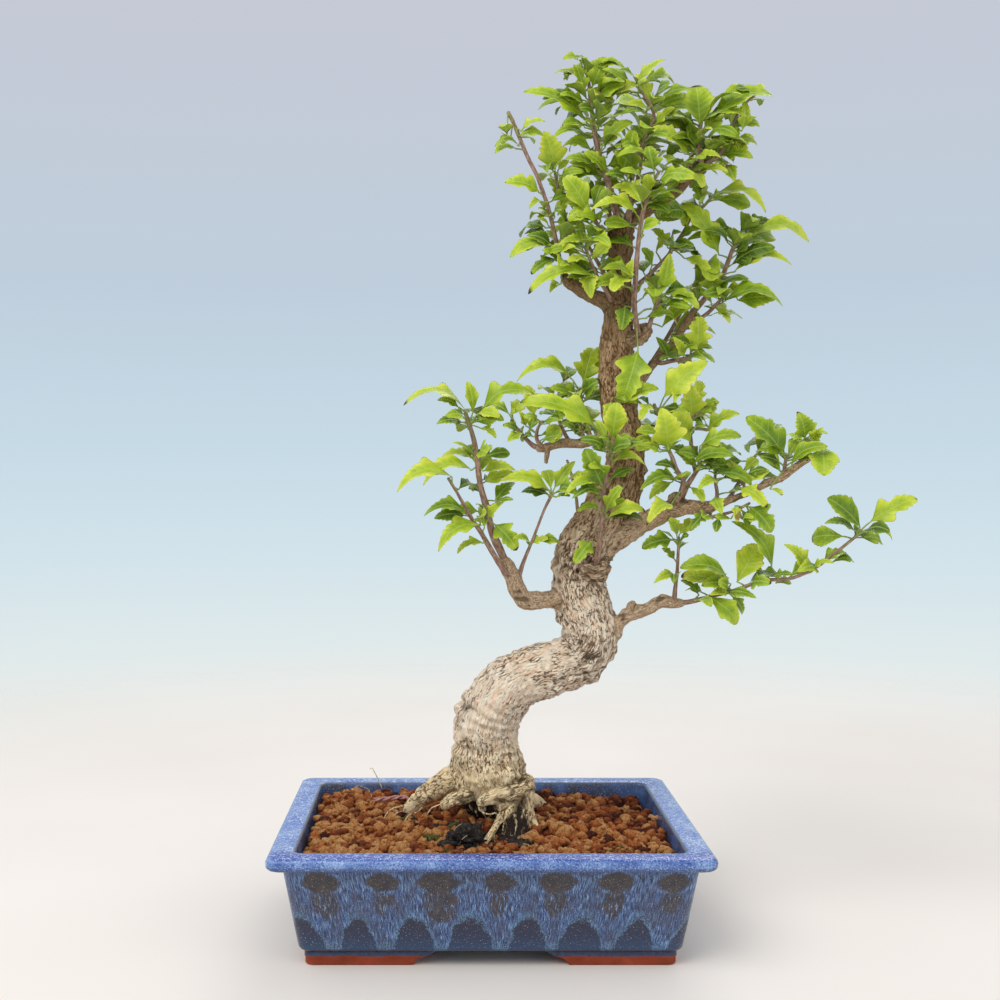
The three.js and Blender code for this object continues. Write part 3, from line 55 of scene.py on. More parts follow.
# each limb of the wood, from inside what it grows from to its end: column, row, depth and radius
woodLimbs = {
  "trunk": [(496, 862, 8, 11), (496, 835, 8, 12), (494, 812, 4, 14), (491, 793, 0, 21), (488, 770, -1, 23.5),
    (485, 745, -3, 20), (487, 722, -4, 20.5), (495, 703, -5, 20), (510, 686, -6, 19), (532, 674, -6, 17.5),
    (556, 667, -4, 16.2), (576, 659, -1, 17), (588, 645, 1, 17.5), (590, 628, 3, 18), (585, 610, 4, 18),
    (579, 592, 4, 17.5), (577, 575, 4, 17), (581, 558, 3, 18.2), (590, 540, 2, 17.5), (601, 522, 1, 16.8),
    (611, 505, 0, 15.5), (619, 488, -1, 14.2), (625, 470, -1, 13), (626, 452, 0, 12), (623, 432, 1, 11.3),
    (619, 412, 2, 11), (617, 390, 2, 11.3), (617, 368, 2, 11.6), (617, 345, 1, 10.3), (618, 322, 0, 9.4),
    (619, 300, 0, 9), (619, 275, 0, 8), (620, 255, 0, 7.8), (620, 238, 0, 9.2), (621, 222, 0, 7)],
  "rootLeft": [(470, 776, -2, 10), (450, 781, 3, 8), (433, 790, 10, 7), (417, 802, 17, 5.6),
    (404, 817, 22, 4)],
  "rootPeeled": [(486, 786, -10, 5.6), (468, 795, -16, 5.2), (453, 800, -18, 4.4), (442, 806, -18, 3)],
  "rootCross": [(524, 786, -8, 6.4), (512, 792, -18, 5.6), (497, 796, -23, 4.6), (486, 800, -25, 3.9),
    (478, 803, -26, 3.2)],
  "rootStub": [(520, 796, -14, 3.4), (508, 802, -21, 2.8), (497, 809, -23, 2)],
  "rootCut": [(514, 800, -15, 2.6), (509, 812, -24, 2.6), (507, 820, -26, 2.3)],
  "rootThin": [(508, 804, -12, 2.2), (500, 819, -27, 2.1), (489, 837, -44, 1.9), (477, 853, -56, 1.6)],
  "rootRight": [(522, 780, -4, 8), (526, 800, -10, 5.5), (527, 818, -15, 4), (526, 836, -20, 3),
    (527, 850, -22, 2.4)],
  "rootRightThin": [(528, 800, -8, 2.6), (532, 815, -14, 2), (537, 829, -20, 1.7), (541, 842, -24, 1.3)],
  "rootPad": [(512, 800, -6, 8), (513, 822, -20, 9), (514, 842, -34, 8), (515, 862, -42, 5)],
  "rootBackRight": [(505, 785, 8, 10), (522, 797, 26, 6.5), (540, 806, 42, 4.4), (554, 816, 52, 3)],
  "rootBackLeft": [(480, 785, 10, 10), (466, 792, 30, 6.5), (455, 800, 46, 4.5), (446, 812, 58, 3)],
  "limbLeft": [(584, 601, 4, 8), (566, 599, 0, 6.8), (551, 599, -4, 5.6), (540, 600, -7, 5.7),
    (526, 600, -10, 6.1), (518, 592, -12, 5.6), (514, 580, -13, 5.2), (508, 568, -14, 4.4),
    (504, 560, -15, 3.6)],
  "limbMidLeft": [(612, 437, 4, 5), (597, 440, 9, 3.7), (588, 441.5, 12, 3.4), (579, 444, 14, 3.3),
    (561, 443, 18, 3.1), (544, 448, 22, 2.9), (537, 449, 24, 2.7)],
  "stubMidLeft": [(548, 447, 21, 2), (547, 455, 20, 1.7), (546, 463, 20, 1.3)],
  "limbRight": [(594, 553, 0, 9), (606, 546, -5, 7.6), (616, 540, -8, 7), (630, 530, -11, 6.9),
    (645, 522, -13, 6.5), (660, 514, -15, 5.9), (675, 509, -16, 5.5), (690, 507, -18, 4.6),
    (705, 508, -19, 3.9), (716, 505, -20, 3.1), (728, 501, -20, 2.7), (740, 496, -20, 2.5),
    (754, 490, -21, 2.4), (767, 483, -21, 2.6), (779, 479, -22, 2.4), (788, 473, -22, 2.3),
    (801, 463, -23, 2.2), (814, 455, -24, 2.1), (825, 449, -25, 2)],
  "callusRight": [(672, 508, -15, 3), (676, 501, -17, 4.6), (680, 495, -18, 3.4)],
  "limbLow": [(604, 643, 1, 7), (613, 633, -2, 5.4), (618, 624, -4, 4.6), (627, 615, -6, 4.4),
    (638, 611, -7, 4.2), (649, 608, -8, 4), (662, 601, -9, 4.2), (674, 603, -10, 3.6), (684, 602, -11, 2.2)],
  "knobLow": [(630, 614, -6, 2.6), (631, 606, -7, 2.9), (634, 602, -7, 1.6)],
  "knobTrunk": [(632, 476, -2, 5), (641, 471, -5, 4.6), (646, 468, -6, 2.8)],
  "burr": [(583, 566, -8, 7), (594, 570, -9, 8), (606, 568, -6, 6)],
  "barePaleTwig": [(583, 530, 0, 2), (578, 513, -4, 1.2), (576, 496, -5, 1), (573, 481, -6, 1),
    (567, 460, -7, 0.8)],
  "limbUpper": [(624, 396, 3, 4.6), (634, 387, 5, 3.8), (641, 380, 6, 3.3), (655, 361, 9, 2.9),
    (666, 350, 11, 2.7), (676, 339, 13, 2.6), (686, 322, 15, 2.4), (697, 307, 17, 2.2)],
  "knobUpper": [(622, 343, -2, 6), (636, 337, -5, 5), (643, 333, -7, 5.2), (649, 328, -9, 3.4)],
  "limbHigh": [(614, 304, 0, 7), (603, 300, -2, 5.6), (590, 295, -4, 4.6), (578, 288, -5, 4.4),
    (569, 282, -6, 3.9), (563, 275, -7, 3)],
  "limbCrown": [(621, 236, 0, 6), (634, 219, 0, 4.6), (652, 207, 2, 4), (673, 194, 4, 3.6),
    (687, 180, 5, 3.3), (694, 171, 5, 5), (701, 166, 5, 4.6), (706, 162, 5, 2.4)]}

# the leafy shoots: rows of the stem, and a leaf a row: base and tip in the view and how far the tip lies
# behind the base, then arch, turn from sky to front in degrees and width share where they are not usual
shoots = {
  "shoot_left_upright": ([(507, 566, -14, 3.2), (500, 550, -15, 3.1), (492, 532, -16, 2.9),
    (487, 509, -18, 2.6), (482.5, 494, -19, 2.4), (479, 477, -20, 2.1), (477, 456, -21, 2),
    (473, 437, -22, 1.8), (465.5, 413, -24, 1.5)],
    [(466, 411, 403.5, 404, -6, 0.3, 25, 0.46), (473, 412, 468, 382, -8, 0.08, 60, 0.45),
    (481, 413, 534, 394, -4, 0.32, 45, 0.5), (478, 414, 499, 416, -12), (480, 428, 496, 437, -10),
    (464, 414, 450, 413, 8), (479, 473, 486, 450, 9, 0.1, 70, 0.8), (483, 471, 515, 469, -5, 0.2),
    (483, 483, 516, 474, 6), (488, 518, 503, 502, -10), (483, 525, 480, 506, 10, 0.1, 60, 0.4),
    (495, 501, 515, 482, 12), (494, 524, 517, 550, -12, 0.16, 62, 0.68), (472, 458, 441, 457, 8, 0.22, 35),
    (472, 470, 423, 484, -8, 0.34, 38, 0.5), (471, 452, 453, 442, -9, 0.1, 40, 0.42)]),
  "shoot_left_outer": ([(512, 577, -15, 2.2), (505, 572, -19, 2.1), (494, 555, -24, 2), (487, 543, -26, 1.9),
    (480, 531, -28, 1.7), (473, 521, -29, 1.5), (464, 505, -31, 1.3), (456, 491, -32, 1.1),
    (448, 478, -33, 1)],
    [(452, 477, 397, 492, -6, 0.34, 40, 0.46), (467, 514, 424, 515, -5, 0.3, 38, 0.5),
    (481, 525, 438, 551, -8, 0.28, 42, 0.5), (484, 543, 457, 552, -6, 0.24, 38, 0.5)]),
  "shoot_left_inner": ([(517, 586, -13, 2), (521, 569, -16, 1.6), (527, 553, -18, 1.3), (533, 539, -20, 1.1),
    (539, 523, -22, 1), (545, 508, -23, 1), (549, 500, -24, 1.2), (553, 493, -24, 1.1)],
    [(549, 490, 500, 480, -6, 0.2, 45, 0.5), (554, 489, 575, 461, 6, 0.12, 55, 0.42),
    (551, 489, 546, 470, 9), (556, 497, 570, 496, -10), (530, 543, 513, 538, -9), (532, 543, 549, 538, -7)]),
  "twig_mid_left": ([(541, 448, 23, 2.4), (534, 446, 25, 2), (526, 439, 27, 1.8), (519, 431, 28, 1.5),
    (511, 421, 29, 1.2)],
    [(509, 414, 493, 404, 6), (523, 433, 508, 441, -8), (518, 430, 503, 425, -8), (512, 415, 521, 400, 10)]),
  "spur_mid_left": ([(545, 449, 21, 1.8), (537, 440, 18, 1.5), (538, 428, 15, 1.2), (543, 421, 13, 1)],
    [(526, 426, 519, 411, -6, 0.1, 60, 0.6), (530, 430, 535, 414, 8),
    (545, 440, 561, 427, -9, 0.1, 70, 0.85), (545, 424, 561, 420, -8), (549, 419, 577, 415, 6),
    (534, 416, 527, 384, 12, 0.12, 60, 0.6)]),
  "spur_mid_left_top": ([(583, 446, 14, 1.8), (583, 435, 13, 1.3), (580, 428, 12, 1.1)],
    [(576, 434, 562, 424, -8), (579, 426, 570, 405, 9), (583, 427, 594, 408, 8)]),
  "twig_behind_trunk": ([(592, 443, 11, 2), (590, 434, 14, 1.4), (584, 419, 16, 1.2), (582, 403, 17, 1.2),
    (580, 388, 18, 1)],
    [(572, 379, 517, 378, -5, 0.28, 38, 0.5), (583, 383, 593, 347, 8, 0.1, 65, 0.72),
    (584, 380, 603, 345, 14, 0.1, 55, 0.4), (577, 397, 551, 387, -10, 0.12, 55, 0.62),
    (585, 399, 600, 386, 12), (578, 390, 556, 402, 10)]),
  "shoot_front": ([(596, 566, -12, 2.2), (598, 553, -19, 2), (600, 538, -22, 1.9), (602, 520, -24, 1.8),
    (603, 500, -26, 1.7), (605, 480, -27, 1.5), (609, 461, -28, 1.4), (612, 444, -29, 1.1)],
    [(598, 430, 520, 402, -4, 0.2, 48, 0.4), (612, 439, 617, 403, -10, 0.08, 75, 0.7),
    (607, 441, 596, 420, 8, 0.1, 60, 0.45), (613, 445, 630, 436, -8),
    (602, 485, 585, 449, -8, 0.1, 70, 0.72), (600, 483, 566, 481, 6, 0.26, 40, 0.5),
    (597, 487, 565, 494, -8, 0.26, 42, 0.5), (613, 462, 645, 464, -6, 0.3, 45, 0.5),
    (606, 511, 622, 485, -8, 0.1, 60, 0.55), (601, 513, 578, 510, -8, 0.24, 45, 0.5),
    (608, 518, 645, 510, -6, 0.26, 45, 0.5), (592, 541, 574, 563, -10, 0.12, 60, 0.6)]),
  "spur_callus": ([(679, 500, -17, 2.2), (683, 480, -25, 1.7), (677, 470, -25, 1.6), (672, 457, -25, 1.5),
    (667, 446, -26, 1.3)],
    [(668, 448, 662, 408, -8, 0.1, 70, 0.95), (661, 435, 636, 431, -8, 0.12, 50, 0.6),
    (661, 450, 636, 437, 8), (660, 452, 638, 446, -9), (675, 478, 640, 490, -8, 0.26, 45, 0.5),
    (672, 482, 649, 499, 6), (671, 505, 647, 523, -20, 0.26, 50, 0.55)]),
  "spur_mid_right": ([(682, 497, -17, 2.2), (688, 484, -17, 1.9), (694, 475, -16, 1.8),
    (702, 462, -15, 1.6)],
    [(700, 446, 741, 435, -6, 0.2, 50, 0.55), (699, 452, 723, 444, 8),
    (692, 465, 733, 455, -12, 0.24, 45, 0.5), (710, 456, 740, 455, 10, 0.2, 45, 0.5),
    (690, 487, 704, 501, -12), (697, 466, 676, 452, -8, 0.1, 60, 0.6)]),
  "twig_cut_right": ([(696, 473, -13, 1.7), (692, 458, -9, 1.4), (691, 442, -7, 1.4), (690, 420, -5, 1.3),
    (696, 414, -5, 1.3), (697, 401, -5, 1.2)],
    [(692, 417, 690, 384, -8, 0.08, 70, 0.9), (697, 416, 719, 400, 7),
    (707, 431, 739, 413, -6, 0.2, 45, 0.55), (686, 415, 662, 408, 8),
    (690, 442, 668, 413, -10, 0.1, 68, 0.85), (696, 405, 700, 380, 10)]),
  "twig_cut_left": ([(668, 448, -25.5, 1.5), (664, 436, -20, 1.4), (661, 423, -16, 1.3),
    (654, 404, -15, 1.1)],
    [(664, 397, 707, 360, -8, 0.12, 55, 0.62), (676, 391, 674, 403, -10), (650, 404, 640, 420, -12)]),
  "twig_under_right": ([(693, 509, -18, 1.8), (700, 515, -22, 1.4), (709, 517, -24, 1.3),
    (720, 515, -25, 1.2), (734, 511, -27, 1.1), (750, 503, -28, 1)],
    [(748, 506, 772, 532, -8, 0.12, 62, 0.85), (735, 506, 737, 522, -8), (741, 509, 747, 528, 6),
    (719, 518, 716, 532, -7), (706, 514, 690, 530, 8)]),
  "spur_over_right": ([(716, 506, -19, 1.8), (717, 492, -18, 1.3), (715, 480, -17, 1.1), (716, 468, -17, 1)],
    [(718, 481, 698, 489, -9, 0.2, 50, 0.6), (715, 474, 752, 483, -9, 0.22, 50, 0.55),
    (715, 497, 722, 514, -9, 0.1, 60, 0.6), (718, 470, 741, 470, 8, 0.2, 45, 0.55),
    (713, 468, 702, 452, 9)]),
  "spur_end_left": ([(744, 495, -20, 1.7), (744, 486, -20, 1.2), (742, 476, -20, 1)],
    [(746, 483, 769, 470, -8, 0.16, 50, 0.55), (739, 488, 767, 507, -9, 0.2, 50, 0.55),
    (741, 477, 726, 463, 8), (744, 472, 757, 458, 9)]),
  "shoot_right_end": ([(784, 477, -22, 1.8), (785, 464, -23, 1.3), (787, 455, -24, 1.1)],
    [(785, 457, 746, 417, -8, 0.12, 60, 0.6), (791, 467, 827, 446, -9, 0.26, 45, 0.5),
    (781, 472, 755, 454, 7, 0.16, 45, 0.5), (770, 489, 782, 495, -9), (788, 456, 800, 438, 9)]),
  "shoot_right_tip": ([(819, 453, -24, 1.6), (812, 444, -25, 1.2), (806, 438, -26, 1)],
    [(805, 437, 798, 412, -8, 0.1, 68, 0.95), (811, 440, 823, 428, -9, 0.1, 65, 0.8),
    (824, 447, 824, 474, -8, 0.1, 68, 0.78), (803, 441, 786, 434, 8)]),
  "shoot_low_right": ([(681, 602.5, -10, 2), (688, 602, -12, 1.8), (701, 599, -14, 1.7),
    (718, 594.5, -16, 1.6), (736, 590, -18, 1.5), (755, 583, -20, 1.4), (770, 580, -21, 1.4),
    (788, 579, -23, 1.3), (803, 574, -24, 1.2), (818, 566, -25, 1.2), (834, 554, -26, 1.2),
    (849, 542, -27, 1.1), (863, 531, -28, 1)],
    [(860, 527, 828, 498, -6, 0.1, 62, 0.62), (869, 523, 917, 497, -6, 0.1, 50, 0.5),
    (868, 529, 893, 539, -8, 0.26, 45, 0.5), (807, 569, 786, 544, -8, 0.1, 60, 0.6),
    (813, 569, 833, 562, -8, 0.28, 45, 0.5), (832, 562, 854, 561, 6, 0.2, 40, 0.5),
    (772, 568, 732, 521, -4, 0.2, 45, 0.42), (737, 582, 758, 544, 6, 0.1, 60, 0.66),
    (728, 580, 680, 568, -6, 0.26, 42, 0.5), (731, 584, 681, 576, 8, 0.1, 45, 0.5), (728, 592, 710, 595, -9),
    (708, 597, 738, 623, -8, 0.2, 55, 0.62), (732, 596, 743, 615, 6), (774, 576, 792, 574, -8),
    (776, 583, 792, 582, 8), (699, 595, 681, 580, 6, 0.16, 45, 0.55)]),
  "twig_low_upright": ([(674, 603, -10, 2.2), (675, 590, -11, 1.6), (677, 573, -13, 1.3),
    (678, 555, -14, 1.2), (679, 537, -15, 1)],
    [(677, 536, 668, 518, -6), (679, 535, 691, 518, 6), (673, 540, 642, 548, -8, 0.2, 55, 0.66),
    (675, 560, 662, 548, 7), (676, 577, 654, 583, -8, 0.26, 50, 0.6)]),
  "shoot_upper_outer": ([(694, 311, 16, 2.4), (701, 303, 18, 2.1), (709, 293.5, 19, 2),
    (719.5, 283, 20, 1.9), (726, 267, 21, 1.8), (732, 251, 22, 1.6), (737, 241, 22, 1.5),
    (739, 232, 22, 1.4)],
    [(747, 240, 809, 242, -8, 0.32, 42, 0.5), (742, 234, 752, 221, 8),
    (734, 272, 792, 265, -8, 0.26, 42, 0.5), (719, 255, 684, 202, -8, 0.1, 55, 0.5),
    (711, 293, 712, 264, -10, 0.08, 65, 0.95), (735, 243, 722, 226, 9), (733, 252, 748, 254, 8)]),
  "spur_upper_cut": ([(692, 318, 15, 1.8), (700, 318, 14, 1.5), (709, 312, 14, 1.4), (719.5, 301, 14, 1.3),
    (731, 290, 14, 1.2)],
    [(722, 303, 783, 306, -8, 0.28, 42, 0.48), (724, 292, 751, 290, 8), (712, 306, 699, 290, -9),
    (717, 309, 730, 322, -9)]),
  "spur_upper_lower": ([(655, 361, 9, 2.2), (662, 363, 3, 1.7), (671, 361, 0, 1.6), (680, 359.5, -2, 1.5),
    (690, 357, -4, 1.5), (698, 352, -5, 1.4)],
    [(697, 347, 699, 316, -6, 0.08, 66, 0.9), (698, 349, 713, 348, 6),
    (684, 357, 673, 337, -8, 0.1, 60, 0.6), (668, 356, 656, 337, 8, 0.1, 60, 0.6), (690, 354, 704, 334, 9)]),
  "twig_knob_upper": ([(648, 330, -8, 2), (652, 317, -11, 1.6), (656, 306, -12, 1.4), (661, 296, -12, 1.2)],
    [(662, 292, 670, 253, -6, 0.06, 70, 0.55), (667, 294, 699, 308, -7, 0.2, 50, 0.55),
    (662, 327, 691, 304, 6, 0.14, 50, 0.5), (658, 296, 644, 280, 8)]),
  "shoot_trunk_front": ([(638, 334, -9, 2.4), (635, 316, -14, 2.1), (634, 302, -15, 2.1), (635, 286, -16, 2),
    (636.5, 263, -18, 1.8), (639, 237, -20, 1.7), (643, 212, -22, 1.6), (647, 199, -22, 1.5),
    (651, 186, -23, 1.3), (659, 172, -23, 1.1)],
    [(654, 171, 648, 146, -5, 0.1, 65, 0.9), (658, 190, 701, 179, -6, 0.2, 48, 0.5),
    (649, 191, 647, 174, -10, 0.1, 60, 0.8), (638, 216, 591, 208, -6, 0.24, 45, 0.52),
    (625, 306, 621, 331, -5, 0.1, 70, 0.8), (624, 281, 633, 259, -6, 0.1, 60, 0.6),
    (626, 277, 611, 292, -5, 0.12, 60, 0.6), (642, 230, 660, 222, -8),
    (638, 350, 622, 402, -5, 0.1, 68, 0.66)]),
  "leaf_trunk_low": ([(613, 413, -7, 1.6), (613, 407, -13, 1.2), (617, 403, -15, 1)],
    [(619, 402, 658, 387, -6, 0.16, 55, 0.55), (611, 402, 604, 420, -6)]),
  "shoot_high_left": ([(565, 279, -6, 2.8), (560, 262, -8, 1.9), (557, 246, -9, 1.7), (552, 223, -10, 1.6),
    (547, 204, -11, 1.6), (542, 190, -12, 1.5), (537, 176, -13, 1.5), (528, 158, -14, 1.5),
    (522, 144, -15, 1.4), (518, 134, -15, 1.4), (513, 122, -16, 1.4), (508, 112, -16, 1.3)],
    [(521, 131, 545, 121, -6, 0.2, 45, 0.5), (519, 146, 495, 145, -6, 0.26, 45, 0.5),
    (540, 193, 505, 182, -6, 0.2, 60, 0.62), (547, 213, 538, 208, -8), (549, 226, 537, 219, -8),
    (553, 238, 544, 231, 7), (556, 247, 510, 255, -5, 0.2, 48, 0.46),
    (557, 259, 531, 274, -6, 0.16, 50, 0.55), (558, 258, 575, 246, -6, 0.14, 60, 0.6),
    (561, 284, 550, 291, -6)]),
  "twig_high_left": ([(580, 290, -3, 2), (574, 268, 1, 1.6), (568, 240, 3, 1.4), (564, 212, 3, 1.4),
    (559, 194, 2, 1.3), (555, 174, 1, 1.1)],
    [(555, 170, 544, 131, -5, 0.08, 68, 0.8), (558, 170, 570, 160, 6),
    (558, 215, 569, 190, -5, 0.1, 60, 0.45), (562, 200, 548, 178, 8, 0.1, 60, 0.5), (570, 236, 584, 214, 8),
    (566, 226, 552, 236, 9)]),
  "shoot_inner_left": ([(614, 306, -3, 2), (606, 291, -12, 1.5), (598, 278, -15, 1.4),
    (590.5, 261, -17, 1.3), (585, 247, -18, 1.1)],
    [(596, 278, 528, 292, -5, 0.26, 45, 0.4), (589, 260, 566, 262, -6),
    (591, 260, 610, 243, -6, 0.1, 55, 0.55), (588, 272, 591, 298, -9, 0.1, 65, 0.7),
    (586, 243, 558, 245, -6, 0.2, 48, 0.55), (583, 245, 577, 228, 6)]),
  "shoot_inner_high": ([(616, 246, -2, 2.2), (605, 236, -9, 1.5), (598, 225, -12, 1.3), (592, 213, -13, 1)],
    [(588, 213, 565, 176, -6, 0.1, 62, 0.62), (600, 219, 566, 221, -7, 0.2, 52, 0.55),
    (594, 208, 601, 184, 6), (604, 231, 588, 236, -8)]),
  "shoot_leader": ([(620, 226, 0, 3.4), (615, 208, -1, 2.8), (610, 189, -2, 2.5), (603, 168, -3, 2.2),
    (596, 141, -4, 1.9), (593, 122, -4, 1.6), (590, 98, -5, 1.4), (588.5, 79, -5, 1.2), (586.6, 66, -6, 1)],
    [(588, 124, 524, 91, -4, 0.16, 48, 0.36), (583, 105, 538, 107, 6, 0.14, 45, 0.4),
    (585, 107, 560, 94, -10), (584, 93, 575, 64, -6, 0.1, 60, 0.6), (592, 87, 604, 57, -6, 0.1, 66, 0.85),
    (597, 107, 637, 83, -7, 0.14, 50, 0.5), (595, 107, 598, 88, 9), (586, 128, 563, 125, -8),
    (597, 130, 586, 120, -10), (590, 70, 597, 60, 6), (587, 66, 583, 56, -4),
    (597, 168, 566, 158, -7, 0.14, 55, 0.55), (600, 174, 575, 163, 6),
    (607, 173, 584, 152, -12, 0.1, 60, 0.6), (602, 147, 632, 121, -8, 0.12, 55, 0.6),
    (601, 138, 578, 140, 10), (598, 120, 613, 103, 10)]),
  "shoot_crown_mid": ([(628, 226, -2, 2.6), (630, 205, -8, 1.9), (631, 185, -10, 1.7), (637, 160, -10, 1.5),
    (646, 136, -10, 1.3), (654, 116, -10, 1.2), (645, 97, -11, 1), (638, 85, -11, 0.9)],
    [(630, 83, 603, 68, -5, 0.1, 55, 0.5), (637, 81, 665, 58, -6, 0.1, 50, 0.36),
    (650, 101, 636, 73, 7, 0.1, 60, 0.5), (660, 101, 692, 90, -6, 0.2, 48, 0.5), (656, 125, 674, 107, -8),
    (650, 128, 668, 118, 9, 0.1, 60, 0.7), (622, 174, 634, 129, -6, 0.08, 66, 0.62),
    (627, 178, 643, 168, -9), (626, 182, 640, 201, -9, 0.1, 62, 0.7), (645, 142, 630, 125, 8),
    (630, 190, 612, 187, -9, 0.1, 60, 0.65), (641, 150, 622, 146, -8, 0.12, 60, 0.6),
    (649, 110, 628, 103, -9, 0.12, 55, 0.55)]),
  "shoot_crown_right": ([(701, 168, 4, 3), (700, 156, 1, 2), (698, 142, -1, 1.8), (701, 122, -2, 1.5)],
    [(700, 125, 696, 85, -6, 0.08, 66, 0.85), (708, 126, 772, 93, -5, 0.2, 46, 0.46),
    (690, 156, 652, 128, -8, 0.1, 58, 0.56), (693, 150, 689, 124, -10, 0.08, 66, 0.9),
    (704, 150, 722, 140, -10), (695, 134, 678, 118, 8), (704, 132, 724, 112, 8, 0.1, 55, 0.6),
    (697, 139, 712, 128, -12)]),
  "shoot_crown_far": ([(705, 165, 5, 2.4), (714, 159, 4, 1.7), (721, 152, 3, 1.5), (727, 138, 1, 1.3),
    (733, 122, 0, 1.2), (744, 105, -1, 1.1), (756, 94, -2, 0.9)],
    [(742, 131, 745, 101, -7, 0.08, 62, 0.5), (727, 156, 738, 127, -7, 0.1, 62, 0.62),
    (731, 156, 753, 134, 6, 0.1, 55, 0.55), (726, 164, 735, 181, -6, 0.1, 60, 0.8), (757, 92, 764, 84, 5),
    (735, 118, 721, 98, 8), (738, 122, 754, 116, 8), (714, 166, 726, 173, -10), (723, 146, 709, 136, -9)]),
  "shoot_crown_low": ([(686, 182, 4, 2.6), (682, 176, -3, 1.7), (683, 168, -8, 1.4), (690, 162, -11, 1.1)],
    [(679, 171, 664, 155, -6, 0.1, 55, 0.6), (697, 158, 721, 157, -8, 0.2, 52, 0.6),
    (697, 176, 728, 171, -6, 0.2, 50, 0.5), (684, 178, 668, 190, -7, 0.12, 60, 0.6),
    (690, 172, 704, 188, -7, 0.12, 60, 0.6)]),
  "twig_behind_right": ([(628, 292, 4, 2.4), (643, 280, 11, 1.6), (655, 269, 14, 1.5), (668, 255, 16, 1.4),
    (676, 243, 17, 1.3), (684, 231, 18, 1.3), (691, 218, 19, 1.2), (699, 211, 19, 1.1), (708, 202, 20, 1)],
    [(711, 197, 766, 213, -8, 0.3, 45, 0.48), (684, 242, 718, 245, -6, 0.24, 45, 0.52),
    (687, 207, 684, 226, -8), (656, 252, 667, 240, -8), (652, 266, 642, 248, -6, 0.1, 60, 0.6),
    (684, 258, 712, 274, -7, 0.14, 52, 0.56), (703, 204, 694, 184, 8, 0.1, 60, 0.6),
    (668, 248, 652, 228, 8, 0.1, 60, 0.6)])}

# shoots on the far side: rows of the stem, how many leaves it has and the longest length
farShoots = {
  "far_crown_left": ([(617, 232, 5, 2.4), (606, 205, 20, 1.7), (597, 170, 30, 1.4),
    (596, 132, 36, 1.1)], 5, 31),
  "far_crown_middle": ([(623, 228, 5, 2.4), (634, 195, 22, 1.8), (642, 155, 32, 1.5),
    (646, 112, 36, 1.1)], 6, 31),
  "far_crown_right": ([(668, 198, 6, 2.2), (684, 170, 24, 1.6), (700, 140, 32, 1.3),
    (712, 112, 36, 1.1)], 5, 30),
  "far_upper_left": ([(615, 296, 6, 2.2), (602, 270, 22, 1.6), (588, 244, 32, 1.3),
    (580, 216, 38, 1.1)], 5, 30),
  "far_upper_right": ([(650, 366, 10, 2), (668, 336, 24, 1.6), (688, 298, 32, 1.4),
    (704, 262, 36, 1.1)], 5, 31),
  "far_mid_right": ([(634, 462, 8, 2.4), (652, 440, 22, 1.7), (680, 428, 32, 1.4),
    (712, 430, 36, 1.1)], 5, 31),
  "far_mid_end": ([(726, 503, -17, 1.9), (738, 484, 0, 1.4), (750, 462, 10, 1.2), (768, 444, 16, 1)], 4, 28),
  "far_mid_left": ([(570, 443, 19, 1.9), (562, 428, 30, 1.4), (556, 408, 38, 1.2),
    (560, 388, 42, 1)], 4, 28)}

usualLeaf = (0.14, 50, 0.58)  # arch, turn and width share
bends = (0, -5, 5, -10, 10, -16, 16)  # shifts tried for a leaf that comes too near another
enoughRoom = 4.5  # millimetres from a leaf to the others, at which no further shift is tried

# a leaf by rule: its first share of the stem and the rest, its heading's rise, the leafstalk's length, its
# size as a share of the longest, the droop of its tip, its turn and its arch
ruleLook = {"along": (0.3, 0.7), "rise": (0.2, 0.7), "stalk": 5, "size": (0.72, 0.28), "droop": 0.25,
            "turn": 20, "arch": 0.16}


def toFrame(points):
    # millimetres about the pot's middle into metres in the row frame
    return (np.asarray(points, float) + potMiddle) / 1000


def seen(column, row, depth):
    # a point of the view at a depth: its offset from the looking line grows with its distance from the eye
    reach = np.asarray(depth, float) - view["eye"][1]
    across = (np.asarray(column, float) - view["column"]) * reach / view["focal"]
    down = (np.asarray(row, float) - view["row"]) * reach / view["focal"]
    return np.stack([view["eye"][0] + across, np.asarray(depth, float), view["eye"][2] - down], -1)


def drawsFrom(seed):
    # seeded draws between 0 and 1, by a linear congruence on 32 bits
    state = seed
    while True:
        state = (state * 1664525 + 1013904223) % 4294967296
        yield state / 4294967296


def unit(vectors):
    # each vector over its own length
    vectors = np.asarray(vectors, float)
    return vectors / np.maximum(np.linalg.norm(vectors, axis=-1, keepdims=True), 1e-9)


def circle(count):
    # evenly spread angles of a full turn
    return np.arange(count) / count * 2 * math.pi


def fourKnots(knots, steps):
    # for each station along the knots: the two knots before it and the two after it, the stretch that it
    # lies in, and its share of that stretch
    padded = np.vstack([2 * knots[0] - knots[1], knots, 2 * knots[-1] - knots[-2]])
    place = np.arange((len(knots) - 1) * steps + 1) / steps
    low = np.minimum(place.astype(int), len(knots) - 2)
    return [padded[low + step] for step in range(4)], low, (place - low)[:, None]


def smoothLine(knots, steps):
    # a smooth line through points in millimetres, by a uniform cubic shaped by each four neighbours
    (a, b, c, d), _, share = fourKnots(np.asarray(knots, float), steps)
    return 0.5 * (2 * b + (c - a) * share + (2 * a - 5 * b + 4 * c - d) * share ** 2
                  + (3 * (b - c) + d - a) * share ** 3)


